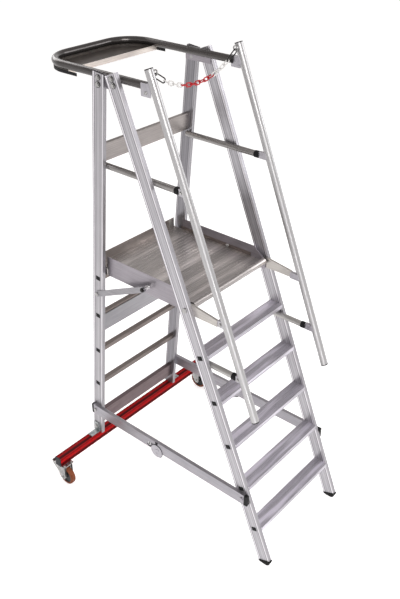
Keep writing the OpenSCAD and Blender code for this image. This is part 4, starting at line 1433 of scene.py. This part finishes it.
@dataclass
class Castors:
    """Braked swivel castors under the base bar."""

    shop: Workshop
    axle_nut: HexBolt = HexBolt(15 * MM, 6 * MM, 11 * MM, 1.5 * MM)
    nut_gap: float = 2 * MM
    cheek_t: float = 2.5 * MM
    cheek_round: float = 0.7 * MM
    cheek: Outline = (
        (-9, -16), (9, -16), (16, -9), (24, 8), (44, 34), (78, 62), (86, 74), (86, 85), (-20, 85), (-20, 30),
        (-16, -9),
    )

    def dress(self) -> None:
        """Gives the castors their finishes."""
        for side in Side:
            self.shop.dress({
                ZINC: [f"castor_fork_{side.word}"],
                WHEEL: [f"castor_wheel_{side.word}"],
                TYRE: [f"castor_tyre_{side.word}"],
                PEDAL: [f"brake_pedal_{side.word}"],
            })

    def axle_end(self, side: Side, end: Side) -> Vector:
        """Finds where an end of a castor's axle meets the outer face of the fork.

        Args:
            side: Side of the part.
            end: End of the axle.

        Returns:
            The place.
        """
        middle = self.shop.whole(f"castor_wheel_{side.word}").middle
        return Vector((self.shop.whole(f"castor_fork_{side.word}").outer_x(end), middle.y, middle.z))

    def build_axle_nuts(self, side: Side) -> None:
        """Nuts on both ends of a castor's axle.

        Args:
            side: Side of the part.
        """
        mesh = bmesh.new()
        for end in Side:
            self.axle_nut.add(mesh, self.axle_end(side, end) + end.outward * self.nut_gap, end.outward)
        self.shop.piece(f"axle_nuts_{side.word}", mesh, BOLT, f"castor_{side.word}", "zinc")

    def build_cheeks(self, side: Side) -> None:
        """Pressed cheeks on the outer faces of a castor's fork.

        Args:
            side: Side of the part.
        """
        mesh = bmesh.new()
        for end in Side:
            outline = [(end.value * along * MM, rise * MM) for along, rise in self.cheek]
            place = facing(self.axle_end(side, end), end.outward)
            prism(mesh, outline, self.cheek_t, place, self.cheek_round)
        self.shop.piece(f"fork_cheeks_{side.word}", mesh, ZINC, f"castor_{side.word}", "zinc")

    def build(self) -> None:
        """Dresses the castors and adds their pieces."""
        self.dress()
        for side in Side:
            self.build_cheeks(side)
            self.build_axle_nuts(side)


@dataclass
class SafetyChain:
    """Chain across the way onto the platform."""

    shop: Workshop

    def build(self) -> None:
        """Gives the chain its finishes."""
        self.shop.dress({
            CHAIN_RED: ["chain_red"],
            CHAIN_WHITE: ["chain_white"],
            DARK_STEEL: ["quick_links"],
        })


@dataclass(frozen=True)
class Lamp:
    """Soft lamp that looks at the part."""

    name: str
    place: Triple
    size: tuple[float, float]
    power: float
    tint: Colour = (1.0, 1.0, 1.0)

    def build(self, aim: Vector) -> None:
        """Adds the lamp to the scene.

        Args:
            aim: Point that the lamp looks at.
        """
        data = bpy.data.lights.new(self.name, "AREA")
        data.shape = "RECTANGLE"
        data.size, data.size_y = self.size
        data.energy = self.power
        data.color = self.tint
        lamp = bpy.data.objects.new(self.name, data)
        lamp.location = self.place
        lamp.rotation_euler = (aim - Vector(self.place)).to_track_quat("-Z", "Y").to_euler()
        bpy.context.scene.collection.objects.link(lamp)


@dataclass
class Studio:
    """Camera, floor, lamps and world of the picture."""

    eye: Vector = Vector((-2.701, -2.2983, 3.4595))
    target: Vector = Vector((-0.1979, -0.1669, 1.4132))
    lens: float = 45.78
    sensor: float = 36.0
    aim: Vector = Vector((0, 0, 1.2))
    lamps: tuple[Lamp, ...] = (
        Lamp("key", (-2.6, -3.6, 4.6), (2.6, 2.6), 130, (1.0, 0.99, 0.98)),
        Lamp("fill", (3.6, -2.4, 3.4), (2.4, 2.4), 50, (0.98, 0.98, 1.0)),
        Lamp("back", (0.6, 4.0, 4.2), (2.4, 2.4), 60),
        Lamp("strip", (-2.6, -3.3, 1.3), (0.9, 2.4), 22),
    )
    floor_half: float = 30.0
    floor_tone: Colour = (0.93, 0.93, 0.93)
    floor_fade: float = 0.99
    floor_clouds: float = 1.5
    floor_rough: float = 0.9
    floor_shine: float = 0.1
    floor_glow: float = 0.5
    sky_stops: tuple[tuple[float, Colour], ...] = (
        (0.5, (1.0, 1.0, 1.0)),
        (0.62, (0.82, 0.8, 0.79)),
        (0.76, (0.5, 0.47, 0.46)),
        (1.0, (0.55, 0.54, 0.54)),
    )

    def build_camera(self) -> None:
        """Camera at the photograph's viewing angle."""
        data = bpy.data.cameras.new("camera")
        data.sensor_fit = "VERTICAL"
        data.sensor_height = self.sensor
        data.lens = self.lens
        camera = bpy.data.objects.new("camera", data)
        camera.location = self.eye
        camera.rotation_euler = (self.target - self.eye).to_track_quat("-Z", "Y").to_euler()
        bpy.context.scene.collection.objects.link(camera)
        bpy.context.scene.camera = camera

    def build_floor(self) -> None:
        """Plain pale floor with a faint variation."""
        mesh = bmesh.new()
        half = self.floor_half
        corners = ((-half, -half), (half, -half), (half, half), (-half, half))
        mesh.faces.new([mesh.verts.new((x, y, 0)) for x, y in corners])
        data = bpy.data.meshes.new("floor")
        mesh.to_mesh(data)
        mesh.free()
        shader = Shader("floor_paint")
        clouds = shader.noise(shader.object_coords, self.floor_clouds)
        faded = scale_colour(self.floor_tone, self.floor_fade)
        shader.feed("Base Color", shader.blend(clouds, self.floor_tone, faded))
        shader.set("Roughness", self.floor_rough)
        shader.set("Specular IOR Level", self.floor_shine)
        shader.set("Emission Color", (1.0, 1.0, 1.0, 1.0))
        rays = shader.add("ShaderNodeLightPath").outputs
        seen = rays["Is Camera Ray"]
        for ray in ("Is Glossy Ray", "Is Transmission Ray"):
            either = shader.add("ShaderNodeMath", operation="MAXIMUM")
            shader.link(seen, either.inputs[0])
            shader.link(rays[ray], either.inputs[1])
            seen = either.outputs[0]
        shader.feed("Emission Strength", shader.fit(seen, 0.0, self.floor_glow))
        data.materials.append(shader.material)
        floor = bpy.data.objects.new("floor", data)
        bpy.context.scene.collection.objects.link(floor)

    def build_world(self) -> None:
        """Sky that is white at the horizon and dimmer above."""
        world = bpy.data.worlds.new("studio")
        world.use_nodes = True
        tree = world.node_tree
        tree.nodes.clear()
        output = tree.nodes.new("ShaderNodeOutputWorld")
        sky = tree.nodes.new("ShaderNodeBackground")
        coords = tree.nodes.new("ShaderNodeTexCoord")
        split = tree.nodes.new("ShaderNodeSeparateXYZ")
        rise = tree.nodes.new("ShaderNodeMapRange")
        rise.inputs["From Min"].default_value = -1
        ramp = tree.nodes.new("ShaderNodeValToRGB")
        stops = ramp.color_ramp.elements
        while len(stops) < len(self.sky_stops):
            stops.new(1.0)
        for stop, (place, colour) in zip(stops, self.sky_stops):
            stop.position = place
            stop.color = (*colour, 1)
        links = tree.links
        links.new(coords.outputs["Generated"], split.inputs["Vector"])
        links.new(split.outputs["Z"], rise.inputs["Value"])
        links.new(rise.outputs["Result"], ramp.inputs["Fac"])
        links.new(ramp.outputs["Color"], sky.inputs["Color"])
        links.new(sky.outputs["Background"], output.inputs["Surface"])
        bpy.context.scene.world = world

    def build(self) -> None:
        """Sets up the picture."""
        self.build_camera()
        self.build_floor()
        self.build_world()
        for lamp in self.lamps:
            lamp.build(self.aim)
        bpy.context.scene.view_settings.view_transform = "Standard"


def main() -> None:
    """Builds the picture and every sub-assembly around the frame."""
    logging.basicConfig(level=logging.INFO, format="%(message)s")
    for thing in list(bpy.data.objects):
        bpy.data.objects.remove(thing)
    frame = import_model()
    shop = Workshop(frame["nodes"])
    Studio().build()
    for make in (FrontFrame, RearFrame, Platform, Linkage, Castors, SafetyChain):
        assembly = make(shop)
        assembly.build()
        LOG.info("finished %s", type(assembly).__name__)


if __name__ == "__main__":
    main()
